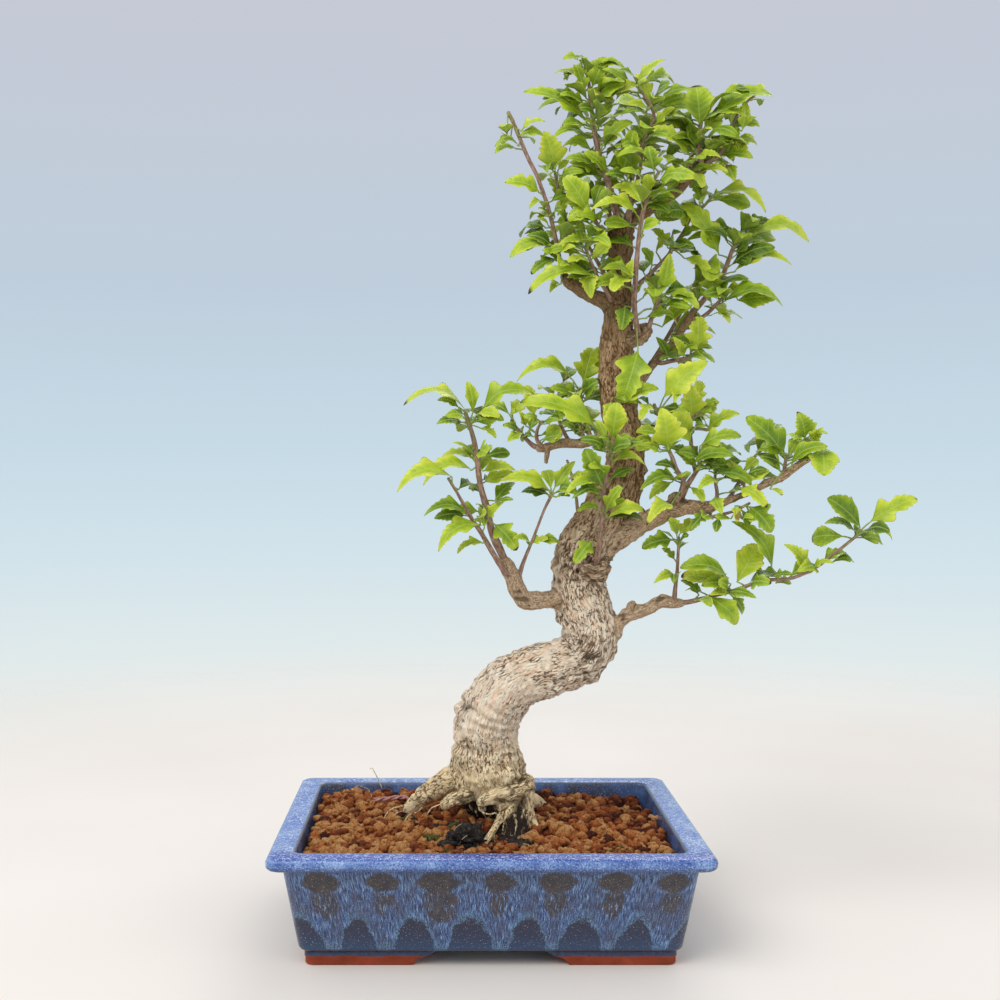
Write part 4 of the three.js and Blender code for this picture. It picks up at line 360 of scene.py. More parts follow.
def centreline(rows, steps):
    # a smooth line through the rows, centripetal so that it doesn't overshoot, with the radius going evenly
    rows = np.asarray(rows, float)
    (a, b, c, d), low, share = fourKnots(seen(*rows[:, :3].T), steps)
    pairs = ((a, b), (b, c), (c, d))
    gapA, gapB, gapC = (np.linalg.norm(q - p, axis=1, keepdims=True) ** 0.5 for p, q in pairs)
    slopeB = ((b - a) / gapA - (c - a) / (gapA + gapB) + (c - b) / gapB) * gapB
    slopeC = ((c - b) / gapB - (d - b) / (gapB + gapC) + (d - c) / gapC) * gapB
    points = (b + slopeB * share + (3 * (c - b) - 2 * slopeB - slopeC) * share ** 2
              + (2 * (b - c) + slopeB + slopeC) * share ** 3)
    return points, rows[low, 3] * (1 - share[:, 0]) + rows[low + 1, 3] * share[:, 0]


def faceFor(base, tip, turn, roll):
    # the blade's face, turned from the sky towards the front, then made square to the blade's length
    along = unit(tip - base)
    angle = math.radians(turn)
    face = np.array([roll, -math.sin(angle), math.cos(angle)])
    return unit(face - along * (face @ along))


def spread(leaf):
    # six points spread over a blade, for measuring how close two leaves come
    chord = leaf["tip"] - leaf["base"]
    length = np.linalg.norm(chord)
    side = unit(np.cross(leaf["face"], chord))
    share = np.array([[0], [0.45], [0.25], [0.45], [0.6], [0.95]])
    out = np.array([[0], [-0.8], [0], [0.8], [0], [0]])
    return (leaf["base"] + chord * share + leaf["face"] * length * leaf["arch"] * 4 * share * (1 - share)
            + side * out * length * leaf["wide"] / 2)


def leafAsSeen(row, stations, look, bend):
    # a measured leaf: its base is level in depth with the nearest stretch of stem, a little towards its tip
    baseColumn, baseRow, tipColumn, tipRow, behind = row[:5]
    arch, turn, wide = (*row[5:], *usualLeaf[len(row) - 5:])
    middles = stations[2::4]
    flat = seen(baseColumn, baseRow, middles[:, 1])
    nearest = middles[np.argmin(np.linalg.norm(flat - middles, axis=1))]
    base = seen(baseColumn, baseRow, nearest[1] + 0.3 * (behind + bend))
    tip = seen(tipColumn, tipRow, nearest[1] + behind + bend)
    face = faceFor(base, tip, turn, look["roll"] * 0.5)
    return {"start": nearest, "base": base, "tip": tip, "face": face, "arch": arch, "wide": wide, **look}


def leafByRule(count, longest, stations, index, look, bend):
    # a golden-angle step round the stem from the leaf before, rising, then drooping at its tip
    rule = ruleLook
    share = rule["along"][0] + rule["along"][1] * index / (count - 1)
    start = stations[int(math.floor(share * (len(stations) - 1) + 0.5))]
    angle = index * goldenAngle + look["roll"] + bend * 0.06
    heading = unit([math.cos(angle), math.sin(angle), rule["rise"][0] + rule["rise"][1] * share * share])
    length = longest * (rule["size"][0] + rule["size"][1] * look["size"])
    base = start + heading * rule["stalk"]
    tip = base + heading * length - np.array([0, 0, length * rule["droop"]])
    face = faceFor(base, tip, rule["turn"], look["roll"])
    return {"start": start, "base": base, "tip": tip, "face": face, "arch": rule["arch"],
            "wide": usualLeaf[2], **look}


def layOutLeaves():
    # every leaf is settled in turn on its stem, and takes the first bend that leaves enough room round it
    draw = drawsFrom(20)
    every = {**shoots, **farShoots}
    places, sizes, owners = [], [], []

    def take(points, radius, owner):
        # points that later leaves keep clear of
        places.append(points)
        sizes.append(np.broadcast_to(radius, len(points)))
        owners.extend([owner] * len(points))

    for rows in woodLimbs.values():
        points, radii = centreline(rows, 2)
        take(points, radii - 1, "wood")
    for name, (stem, *_) in every.items():
        take(centreline(stem, 2)[0][2:], 0.5, name + " stem")
    laid = {name: [] for name in every}
    for name, (stem, leaves, *longest) in every.items():
        stations, _ = centreline(stem, 4)
        for index in range(leaves if longest else len(leaves)):
            # the third draw is for the CAD leaf's waves
            roll, cup, _, size = [next(draw) for _ in range(4)]
            look = {"roll": roll - 0.5, "cup": 0.1 + 0.22 * cup, "size": size}
            taken, around = np.vstack(places), np.concatenate(sizes)
            ease = np.array([0.8 if owner == name else 0 for owner in owners])
            others = np.array([owner != name + " stem" for owner in owners])
            best, bestRoom = None, None
            for bend in bends:
                leaf = (leafByRule(leaves, longest[0], stations, index, look, bend) if longest
                        else leafAsSeen(leaves[index], stations, look, bend))
                gaps = np.linalg.norm(spread(leaf)[:, None] - taken[None], axis=2) - around + ease
                room = gaps[:, others].min()
                if best is None or room > bestRoom + 0.01:
                    best, bestRoom = leaf, room
                if room >= enoughRoom:
                    break
            laid[name].append(best)
            take(spread(best), 0, name)
    return laid


# meshes from arrays
def gridFaces(rows, columns, closed):
    # the quads between neighbouring rows and columns of a grid; closed joins the last column to the first
    across = columns if closed else columns - 1
    row, column = np.meshgrid(np.arange(rows - 1), np.arange(across), indexing="ij")
    low, high = row * columns, (row + 1) * columns
    after = (column + 1) % columns
    return np.stack([low + column, low + after, high + after, high + column], -1).reshape(-1, 4)


def latticeNoise(points, seed):
    # smooth noise from -1 to 1: a value is drawn for each corner of a lattice of unit cubes, and between
    # the corners the values are blended by 3s^2 - 2s^3 of each share s
    points = np.asarray(points, float)
    cell = np.floor(points).astype(np.int64)
    share = points - cell
    share = share * share * (3 - 2 * share)
    total = np.zeros(len(points))
    for corner in np.ndindex(2, 2, 2):
        x, y, z = (cell + np.array(corner)).T
        code = (x * 73856093) ^ (y * 19349663) ^ (z * 83492791) ^ (seed * 2654435761)
        code = (code ^ (code >> 13)) * 1274126177 % 4294967296
        code = (code ^ (code >> 16)) % 65536
        total += np.prod(np.where(corner, share, 1 - share), axis=1) * (code / 32767.5 - 1)
    return total


def carriedFrames(points):
    # a heading at each station, and two directions square to it that are carried along without twist
    first, last = points[1:2] - points[:1], points[-1:] - points[-2:-1]
    heading = unit(np.vstack([first, points[2:] - points[:-2], last]))
    across = np.zeros_like(heading)
    last = np.array([0, -1.0, 0])
    for index, ahead in enumerate(heading):
        last = last - ahead * (last @ ahead)
        if np.linalg.norm(last) < 1e-3:
            last = np.cross(ahead, [1.0, 0, 0])
        last = unit(last)
        across[index] = last
    return heading, across, np.cross(heading, across)


def tubeMesh(points, radii, sides):
    # a ring of sides points round each station, with a small dome of three more rings closing each end
    heading, across, beside = carriedFrames(points)
    dome = np.array([0.0, 0.5, 0.87])
    first = points[0] - heading[0] * radii[0] * 0.5 * (1 - dome[:, None])
    last = points[-1] + heading[-1] * radii[-1] * 0.5 * (1 - dome[::-1][:, None])
    centres = np.vstack([first, points, last])
    sizes = np.concatenate([radii[0] * (0.02 + dome), radii, radii[-1] * (0.02 + dome[::-1])])
    carried = [0] * 3 + list(range(len(points))) + [-1] * 3
    across, beside = across[carried][:, None], beside[carried][:, None]
    angle = circle(sides)[None, :, None]
    body = centres[:, None] + (across * np.cos(angle) + beside * np.sin(angle)) * sizes[:, None, None]
    count = len(centres) * sides
    ends = [list(range(sides))[::-1], list(range(count - sides, count))]
    return body.reshape(-1, 3), gridFaces(len(centres), sides, True), ends


def readArray(items, key, width, kind=float):
    # one property of every item of a mesh, as rows of an array
    values = np.empty(len(items) * width, kind)
    items.foreach_get(key, values)
    return values.reshape(-1, width)


class MeshParts:
    # gathers points, faces, per-point numbers and material places for one piece; a number not given is 0
    def __init__(self):
        self.points, self.faces, self.slots, self.numbers, self.count = [], [], [], [], 0

    def add(self, points, faces, slot=0, ends=(), **numbers):
        # a part's faces count its own points from 0; ends are its faces of many corners
        points = np.asarray(points, float).reshape(-1, 3)
        whole = (np.asarray(faces) + self.count).tolist()
        whole += [[corner + self.count for corner in end] for end in ends]
        self.points.append(points)
        self.faces += whole
        self.slots += [slot] * len(whole)
        self.numbers.append(numbers)
        self.count += len(points)

    def joined(self, key):
        # a number of every point: one column, or three where it is a vector
        values = [numbers.get(key, 0.0) for numbers in self.numbers]
        width = (3,) if max(np.ndim(value) for value in values) == 2 else ()
        spans = [(len(points),) + width for points in self.points]
        return np.concatenate([np.broadcast_to(value, span) for value, span in zip(values, spans)])

    def build(self, name, materials):
        # the piece, with a point attribute for each kind of number
        mesh = bpy.data.meshes.new(name)
        mesh.from_pydata(toFrame(np.vstack(self.points)).tolist(), [], self.faces)
        mesh.polygons.foreach_set("material_index", np.array(self.slots, np.int32))
        mesh.polygons.foreach_set("use_smooth", np.full(len(self.faces), True))
        for key in dict.fromkeys(key for numbers in self.numbers for key in numbers):
            values = self.joined(key).astype(np.float32)
            kind, field = ("FLOAT_VECTOR", "vector") if values.ndim == 2 else ("FLOAT", "value")
            mesh.attributes.new(key, kind, "POINT").data.foreach_set(field, values.ravel())
        for material in materials:
            mesh.materials.append(material)
        mesh.update()
        piece = bpy.data.objects.new(name, mesh)
        bpy.context.scene.collection.objects.link(piece)
        return piece


def settlePiece(piece, slotName, *nodes):
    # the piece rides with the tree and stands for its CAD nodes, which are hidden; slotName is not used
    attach(piece, "root")
    if nodes:
        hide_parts(*nodes)


# materials
def paint(red, green, blue):
    # a colour read off as 0 to 255, as the linear light that the shaders take
    share = np.array([red, green, blue]) / 255
    linear = np.where(share <= 0.04045, share / 12.92, ((share + 0.055) / 1.055) ** 2.4)
    return (*linear.tolist(), 1.0)


def addNode(tree, kind, settings=None, **inputs):
    # an input is named by its socket, or by i and the socket's place; it is a constant or a linked value
    node = tree.nodes.new(kind)
    for key, value in (settings or {}).items():
        setattr(node, key, value)
    for key, value in inputs.items():
        socket = node.inputs[int(key[1:])] if key[0] == "i" and key[1:].isdigit() else node.inputs[key]
        if isinstance(value, Value):
            tree.links.new(value.socket, socket)
        else:
            socket.default_value = value
    return node


class Value:
    # a number, place or colour that varies over a surface: what is done to it adds nodes to its tree
    def __init__(self, tree, socket):
        self.tree, self.socket = tree, socket

    def through(self, kind, output=0, settings=None, **inputs):
        # an output of a new node that this value feeds
        return Value(self.tree, addNode(self.tree, kind, settings, **inputs).outputs[output])

    def math(self, operation, other=0.0, clamp=False):
        settings = {"operation": operation, "use_clamp": clamp}
        return self.through("ShaderNodeMath", 0, settings, i0=self, i1=other)

    def __add__(self, other):
        return self.math("ADD", other)

    def __sub__(self, other):
        return self.math("SUBTRACT", other)

    def __rsub__(self, other):
        return self.math("MULTIPLY", -1.0) + other

    def __mul__(self, other):
        return self.math("MULTIPLY", other)

    def __abs__(self):
        return self.math("ABSOLUTE")

    def most(self, other):
        # the higher of two values
        return self.math("MAXIMUM", other)

    def step(self, start, end):
        # 0 before start and 1 after end, smooth between them; start may lie above end
        limits = {"From Min": start, "From Max": end}
        smooth = {"interpolation_type": "SMOOTHSTEP"}
        return self.through("ShaderNodeMapRange", 0, smooth, Value=self, **limits)

    def ramp(self, *stops):
        # a colour from stops: a place from 0 to 1, then red, green and blue
        node = addNode(self.tree, "ShaderNodeValToRGB", None, Fac=self)
        elements = node.color_ramp.elements
        for _ in stops[2:]:
            elements.new(0.5)
        for element, (place, *colour) in zip(elements, stops):
            element.position, element.color = place, paint(*colour)
        return Value(self.tree, node.outputs[0])

    def under(self, factor, colour):
        # this colour, covered with another as far as the factor says
        other = colour if isinstance(colour, Value) else paint(*colour)
        return self.through("ShaderNodeMix", 2, {"data_type": "RGBA"}, i0=factor, i6=self, i7=other)

    def drawn(self, *shares):
        # a place scaled by a share for each direction, which draws a pattern out where the share is small
        return self.through("ShaderNodeMapping", 0, None, Vector=self, Scale=shares)

    def noise(self, scale, detail=3.0, roughness=0.55):
        return self.through("ShaderNodeTexNoise", 0, None, Vector=self, Scale=scale, Detail=detail,
                            Roughness=roughness)

    def parts(self):
        node = addNode(self.tree, "ShaderNodeSeparateXYZ", None, Vector=self)
        return [Value(self.tree, socket) for socket in node.outputs]

    def grouped(self, group, **numbers):
        # the outputs of a node group that reads this place
        node = addNode(self.tree, "ShaderNodeGroup", {"node_tree": group}, Vector=self, **numbers)
        return [Value(self.tree, socket) for socket in node.outputs]


class Finish:
    # a material with one principled shader, whose tree reads places and the mesh's own numbers
    def __init__(self, name, roughness, specular):
        self.material = bpy.data.materials.new(name)
        self.material.use_nodes = True
        self.tree = self.material.node_tree
        self.shader = self.tree.nodes["Principled BSDF"]
        self.shader.inputs["Roughness"].default_value = roughness
        self.shader.inputs["Specular IOR Level"].default_value = specular

    def read(self, kind, output, settings=None, **inputs):
        # an output of a new node that starts a chain
        return Value(self.tree, addNode(self.tree, kind, settings, **inputs).outputs[output])

    def place(self):
        return self.read("ShaderNodeTexCoord", "Object")

    def number(self, name, output="Fac"):
        # one of the mesh's own numbers
        return self.read("ShaderNodeAttribute", output, {"attribute_name": name})

    def send(self, value, name):
        self.tree.links.new(value.socket, self.shader.inputs[name])

    def done(self, skin, height, strength, distance):
        # the colour and the relief, as a bump of so many metres, go to the shader
        bump = self.read("ShaderNodeBump", 0, None, Height=height, Strength=strength, Distance=distance)
        self.send(skin, "Base Color")
        self.send(bump, "Normal")
        return self.material


def makeGroup(name, recipe, inputs, outputs):
    # a node group that reads a place and numbers, and puts out the values that its recipe makes of them
    group = bpy.data.node_groups.new(name, "ShaderNodeTree")
    for label, side in [(label, "INPUT") for label in inputs] + [(label, "OUTPUT") for label in outputs]:
        kind = "NodeSocketVector" if label == "Vector" else "NodeSocketFloat"
        group.interface.new_socket(label, in_out=side, socket_type=kind)
    given = group.nodes.new("NodeGroupInput").outputs
    put = group.nodes.new("NodeGroupOutput").inputs
    values = recipe(*[Value(group, given[label]) for label in inputs])
    for value, label in zip(values, outputs):
        group.links.new(value.socket, put[label])
    return group


def grainRecipe(place, size):
    # crumbly grain: coarse lumps and fine pits, for clay, peat, soil and the pot's bare feet
    coarse = place.noise(size, 4.0, 0.65)
    fine = place.noise(size * 3.7, 3.0, 0.7)
    return fine * 0.45 + coarse, fine.step(0.42, 0.3)


def fleckRecipe(place, size, start, end):
    # elongated flecks along a piece's length: noise drawn out along the third direction, cut at a threshold
    return [place.drawn(1, 1, 0.22).noise(size, 3.0, 0.6).step(start, end)]


grain = makeGroup("crumbGrain", grainRecipe, ("Vector", "Size"), ("Height", "Pits"))
flecks = makeGroup("longFlecks", fleckRecipe, ("Vector", "Size", "Start", "End"), ["Mask"])

# the plain finishes: one noise, or crumbly grain, gives both the colours and the relief
plainFinishes = {
    # green leafstalk with a little red
    "petioleSkin": {"rough": 0.5, "specular": 0.4, "noise": (160.0, 2.0), "bump": (0.3, 0.0003),
                    "stops": ((0.35, 124, 146, 62), (0.65, 164, 172, 96))},
    # short damp moss: dark olive to yellow green
    "mossGreen": {"rough": 0.95, "specular": 0.15, "crumbs": 1400.0, "bump": (1.0, 0.0012),
                  "stops": ((0.5, 50, 50, 27), (0.75, 98, 98, 47), (0.95, 150, 147, 82))},
    # black peat, greyer on the crumbs' tops as a painted highlight
    "peatBlack": {"rough": 0.95, "specular": 0.2, "crumbs": 650.0, "bump": (0.9, 0.0012),
                  "stops": ((0.5, 20, 17, 16), (0.75, 46, 41, 38), (0.95, 104, 94, 84))},
    # the wire's pinkish coat
    "wireCoat": {"rough": 0.42, "specular": 0.5, "noise": (500.0, 3.0), "bump": (0.25, 0.0002),
                 "stops": ((0.35, 150, 96, 92), (0.6, 188, 132, 124), (0.75, 206, 158, 146))},
    # dull dark moulded netting
    "nettingDark": {"rough": 0.6, "specular": 0.4, "noise": (300.0, 3.0), "bump": (0.3, 0.0003),
                    "stops": ((0.35, 34, 38, 34), (0.7, 58, 62, 56))},
}


def makePlain(name):
    # the ramp is the colour and the value under it the relief
    look = plainFinishes[name]
    finish = Finish(name, look["rough"], look["specular"])
    place = finish.place()
    crumbly = "crumbs" in look
    value = place.grouped(grain, Size=look["crumbs"])[0] if crumbly else place.noise(*look["noise"])
    return finish.done(value.ramp(*look["stops"]), value, *look["bump"])


# bark, twigs and wood
def makeBark():
    # cream bark split by short charcoal cracks that run with each limb, their dark partly the bark's own
    # colour and partly painted shade in the crevices; browner on the upper wood, yellowish with old moss at
    # the roots, dark and fibrous where the roots are matted and, at the trunk's foot, painted shade in the
    # hollow between the roots; painted shade also darkens the deep hollows of the relief and the furrows of
    # the gnarled places
    finish = Finish("barkSkin", 0.88, 0.2)
    along = finish.number("barkPlace", "Vector")
    height = finish.number("woodHeight")
    slim = finish.number("girth").step(0.7, 0.35) * height.step(0.25, 0.35)
    ridge = along.drawn(1, 1, 0.2).noise(0.5, 5.0, 0.62)
    pale = ridge.ramp((0.28, 212, 172, 136), (0.4, 250, 218, 184), (0.52, 255, 235, 206),
                      (0.7, 255, 246, 224))
    brown = ridge.ramp((0.28, 108, 78, 48), (0.43, 166, 130, 92), (0.57, 202, 166, 124),
                       (0.75, 230, 198, 156))
    patches = along.drawn(1, 1, 0.6).noise(0.06)
    skin = pale.under((patches * 0.24 + height).step(0.44, 0.64), brown)
    granular = along.drawn(1, 1, 0.6).noise(1.1, 4.0, 0.65)
    tan = granular.ramp((0.3, 122, 94, 68), (0.46, 186, 152, 116), (0.64, 228, 196, 158))
    skin = skin.under(slim * 0.85, tan).under(height.step(0.6, 0.76) * 0.66, (102, 80, 46))
    rooty = height.step(0.24, 0.16) * patches.step(0.12, 0.42)
    skin = skin.under(rooty * 0.6, (255, 224, 156))

    sway = finish.read("ShaderNodeTexNoise", "Color", None, Vector=along, Scale=0.8, Detail=3.0)
    bent = finish.read("ShaderNodeVectorMath", 0, {"operation": "MULTIPLY_ADD"},
                       i0=sway, i1=(1.4, 1.4, 2.8), i2=along)
    cells = finish.read("ShaderNodeTexVoronoi", "Distance", {"feature": "DISTANCE_TO_EDGE"},
                        Vector=bent.drawn(0.74, 0.74, 0.17), Scale=1.0)
    width = along.drawn(1, 1, 0.5).noise(0.75).step(0.38, 0.66) * along.noise(0.07, 2.0).step(0.36, 0.54)
    calm = slim.most(finish.number("sleek"))
    width = width * (calm * -0.8 + 1.0) * 0.19 + 0.01
    cracks = (width - cells).step(-0.02, 0.07)
    small = along.grouped(flecks, Size=2.6, Start=0.6, End=0.66)[0]
    dark = cracks.most(small * 0.75)
    # the cracks' dark brown is partly the bark's own colour and partly painted shade in the crevices
    skin = skin.under(dark * 0.86, (96, 60, 27))
    # painted shade where the relief lies deep below the surface
    skin = skin.under(finish.number("hollow").step(-1.0, -2.6) * 0.7, (84, 64, 44))
    # painted shade in the low furrows of the gnarled places
    gnarlShade = finish.number("gnarl").step(0.3, 1.0) * ridge.step(0.52, 0.44)
    skin = skin.under(gnarlShade * 0.6, (92, 66, 40))
    mealy, pits = along.grouped(grain, Size=1.6)
    skin = skin.under(pits * 0.15, (104, 86, 66))
    # dark matted fibres on the root pad; at the trunk's foot the same dark is painted shade in the hollow
    # between the roots
    skin = skin.under(finish.number("fibre") * ridge.step(0.68, 0.52), (44, 32, 25))
    skin = skin.under(finish.number("cutFace"), (226, 164, 112))
    return finish.done(skin, dark * -0.5 + (mealy * 0.25 + ridge), 0.95, 0.0019)


def makeTwig():
    # smooth young bark: purplish brown with pale pores, greener towards the tip
    finish = Finish("twigSkin", 0.62, 0.4)
    along = finish.number("barkPlace", "Vector")
    mottle = along.drawn(1, 1, 0.35).noise(0.9)
    young = mottle.ramp((0.3, 104, 76, 62), (0.5, 150, 116, 96), (0.7, 184, 152, 128))
    green = mottle.ramp((0.3, 104, 98, 52), (0.7, 158, 150, 92))
    skin = young.under(finish.number("stemShare").step(0.72, 1.05), green)
    pores = along.grouped(flecks, Size=2.6, Start=0.63, End=0.68)[0]
    return finish.done(skin.under(pores * 0.6, (200, 178, 152)), pores * 0.4 + mottle, 0.5, 0.0004)


# sizes in millimetres: how fine the joined skin is, which limbs stay thin tubes, and the height and size of
# each kind of relief, which a limb of the full girth carries whole; below the fibres' top height the roots'
# dark fibres begin, which at the trunk's foot are painted shade in the hollow between the roots, and apart
# shifts each limb's running length, so that no two limbs have the same bark
woodLook = {"voxel": 1.05, "sides": 36, "steps": 6, "thinLimb": 3.3, "thinSides": 10, "thinGirth": 0.2,
            "ridge": 1.8, "ridgeAcross": 2.6, "ridgeAlong": 13.0, "ridgeTop": 0.45, "wart": 1.6,
            "wartSize": 5.2, "wartTop": 0.35, "fullGirth": 15.0, "fine": 0.35, "fineAcross": 1.4,
            "fineAlong": 8.0, "lump": 1.5, "lumpSize": 14.0, "sway": 1.6, "swaySize": 9.0, "fibreTop": 87.0,
            "fibreFade": 6.0, "apart": 137.0}

# where the wood is gnarled: column, row, depth and reach of each place, and how much rougher it is
gnarled = [
    (594, 566, -12, 17, 1.6), (586, 655, -12, 16, 1.2), (556, 671, -10, 14, 0.7), (508, 782, -14, 18, 1.1),
    (518, 794, -16, 12, 1.3), (636, 474, -4, 9, 1), (640, 337, -5, 12, 1.2), (697, 168, 5, 10, 1),
    (620, 236, 0, 12, 0.9), (490, 722, -20, 13, 0.7), (633, 527, -12, 9, 0.8), (676, 500, -16, 9, 1),
    (560, 556, -12, 11, 1.5), (573, 566, -16, 9, 1.3), (553, 618, -2, 8, 1.4), (636, 606, -7, 8, 1),
    (470, 728, -12, 9, 1), (524, 600, -10, 8, 0.8)]
# where the bark is smooth, given in the same way, and creases round the trunk: column, row, depth, how deep
sleekPlaces = [(486, 714, -24, 20, 1), (514, 690, -20, 9, 1)]
creases = [
    (489, 712, -4, 2.6), (493, 703, -5, 1.6), (487, 723, -4, 1.8), (485, 742, -3, 2.4),
    (524, 678, -6, 1.6), (580, 567, 4, 2.6), (578, 577, 4, 3), (571, 661, -1, 2.4), (582, 652, 0, 1.6)]


def limbStations():
    # closely spaced stations of every limb, with each one's own running length and frame
    found = []
    for index, rows in enumerate(woodLimbs.values()):
        points, radii = centreline(rows, 8)
        steps = np.linalg.norm(np.diff(points, axis=0), axis=1)
        run = np.concatenate([[0], np.cumsum(steps)]) + index * woodLook["apart"]
        found.append((points, radii, run, *carriedFrames(points), np.full(len(points), index)))
    keys = ("point", "radius", "run", "heading", "across", "beside", "limb")
    return {key: np.concatenate(values) for key, values in zip(keys, zip(*found))}


def barkCoordinates(points, stations):
    # a point takes the station whose skin it is nearest, and its offset in that station's frame
    nearest = np.empty(len(points), int)
    block = 20000
    for start in range(0, len(points), block):
        some = points[start:start + block]
        gaps = np.linalg.norm(some[:, None] - stations["point"][None], axis=2) - stations["radius"][None]
        nearest[start:start + block] = gaps.argmin(1)
    offset = points - stations["point"][nearest]
    keys = ("across", "beside", "heading")
    local = np.stack([(offset * stations[key][nearest]).sum(1) for key in keys], 1)
    local[:, 2] += stations["run"][nearest]
    return local, nearest


def strongest(points, places):
    # the highest of the bell shapes round places given as column, row, depth, reach and strength
    total = np.zeros(len(points))
    for column, row, behind, reach, strength in places:
        gap = np.linalg.norm(points - seen(column, row, behind), axis=1)
        total = np.maximum(total, strength * np.exp(-(gap / reach) ** 2))
    return total


def barkRelief(place, radius, points, stations):
    # ridges drawn out along the limb, round warts, finer fibres and broad lumps, all fading on thin limbs
    # and in the smooth places and swelling in the gnarled ones; a crease is a groove at one running length
    # of the trunk, a bell shape below the surface with a lower one raised beside it
    look = woodLook
    girth = np.clip((radius / look["fullGirth"]) ** 0.65, 0.12, 1)
    drawnOut = place / [look["ridgeAcross"], look["ridgeAcross"], look["ridgeAlong"]]
    ridge = latticeNoise(drawnOut, 3) + 0.5 * latticeNoise(drawnOut * 2, 4)
    fine = latticeNoise(place / [look["fineAcross"], look["fineAcross"], look["fineAlong"]], 5)
    lump = latticeNoise(points / look["lumpSize"], 6)
    warts = points / look["wartSize"]
    wart = look["wartTop"] - np.abs(latticeNoise(warts, 7)) + 0.4 * latticeNoise(warts * 2.1, 8)
    rougher, sleek = strongest(points, gnarled), strongest(points, sleekPlaces)
    coarse = 1 - 0.75 * sleek
    swell = np.minimum(girth * 1.3 + 0.15 * rougher, 1.2) * look["wart"] * (1 + 1.7 * rougher)
    relief = (girth * coarse * (look["ridge"] * (look["ridgeTop"] - np.abs(ridge)) + look["fine"] * fine)
              + girth * look["lump"] * lump + swell * wart * coarse)
    sway = look["sway"] * latticeNoise(points / look["swaySize"], 17)
    for column, row, behind, depth in creases:
        gaps = np.linalg.norm(stations["point"] - seen(column, row, behind), axis=1)
        away = place[:, 2] - stations["run"][gaps.argmin()] + sway
        groove = 0.4 * np.exp(-((away + 2.6) / 2) ** 2) - np.exp(-(away / 1.3) ** 2)
        relief = relief + depth * groove * (0.8 + 0.6 * lump)
    return relief, rougher, sleek


def evened(values, edges, times):
    # each point's number is averaged with its neighbours' along the edges
    for _ in range(times):
        total, count = values.copy(), np.ones(len(values))
        for first, second in ((0, 1), (1, 0)):
            total += np.bincount(edges[:, first], values[edges[:, second]], len(values))
            count += np.bincount(edges[:, first], minlength=len(values))
        values = total / count
    return values


def joinLimbs(parts, material):
    # one skin round the thick limbs by a voxel remesh: its points, normals, edges and faces
    rough = parts.build("roughWood", [material])
    remesh = rough.modifiers.new("join", "REMESH")
    remesh.mode = "VOXEL"
    remesh.voxel_size = woodLook["voxel"] / 1000
    mesh = bpy.data.meshes.new_from_object(rough.evaluated_get(bpy.context.evaluated_depsgraph_get()))
    bpy.data.objects.remove(rough)
    points = readArray(mesh.vertices, "co", 3) * 1000 - potMiddle
    normals = readArray(mesh.vertex_normals, "vector", 3)
    edges = readArray(mesh.edges, "vertices", 2, np.int32)
    faces = readArray(mesh.polygons, "vertices", 4, np.int32)
    bpy.data.meshes.remove(mesh)
    return points, normals, edges, faces


def makeWood(material):
    # thick limbs are joined into one skin and raised in bark relief; thin ones are added as tubes
    parts, thin = MeshParts(), {}
    for name, rows in woodLimbs.items():
        if max(row[3] for row in rows) <= woodLook["thinLimb"]:
            thin[name] = rows
        else:
            body, faces, ends = tubeMesh(*centreline(rows, woodLook["steps"]), woodLook["sides"])
            parts.add(body, faces, 0, ends)
    points, normals, edges, faces = joinLimbs(parts, material)
    stations = limbStations()
    place, nearest = barkCoordinates(points, stations)
    radius = stations["radius"][nearest]
    smooth = np.stack([evened(points[:, axis], edges, 2) for axis in range(3)], 1)
    relief, gnarl, sleek = barkRelief(place, radius, points, stations)
    relief = evened(relief, edges, 1)
    raised = smooth + normals * relief[:, None]
    names = list(woodLimbs)
    # the dark root base: matted fibres on the root pad, and painted shade in the hollow at the trunk's foot,
    # below the top height
    pad = np.isin(stations["limb"][nearest], [names.index("rootPad"), names.index("trunk")]).astype(float)
    matted = np.clip((woodLook["fibreTop"] - points[:, 2]) / woodLook["fibreFade"], 0, 1)
    fibre = evened(pad, edges, 3) * matted
    share = radius / woodLook["fullGirth"]
    whole = MeshParts()
    whole.add(raised, faces, 0, barkPlace=place, woodHeight=raised[:, 2] / treeHeight, fibre=fibre,
              gnarl=gnarl, sleek=sleek, girth=np.clip(share, 0, 1), hollow=relief / np.clip(share, 0.25, 1))
    sides = woodLook["thinSides"]
    for index, (name, rows) in enumerate(thin.items()):
        body, faces, ends = tubeMesh(*centreline(rows, woodLook["steps"]), sides)
        rings = len(body) // sides
        run = np.repeat(np.arange(rings) * 2.0, sides) + 900 + index * 60
        cut = (np.arange(len(body)) >= len(body) - 3 * sides) * float(name in ("rootCut", "rootStub"))
        whole.add(body + 0.25 * latticeNoise(body / 2.2, 8)[:, None], faces, 0, ends,
                  barkPlace=roundPlace(rings, sides, 2, run), woodHeight=body[:, 2] / treeHeight,
                  cutFace=cut * 0.9, girth=woodLook["thinGirth"])
    settlePiece(whole.build("wood_bark", [material]), "bark", "wood")


def roundPlace(rings, sides, radius, run):
    # a bark coordinate for a tube's rings: round a circle of the radius, and on by the running length
    turn = np.tile(circle(sides), rings)
    return np.stack([np.cos(turn) * radius, np.sin(turn) * radius, run], 1)


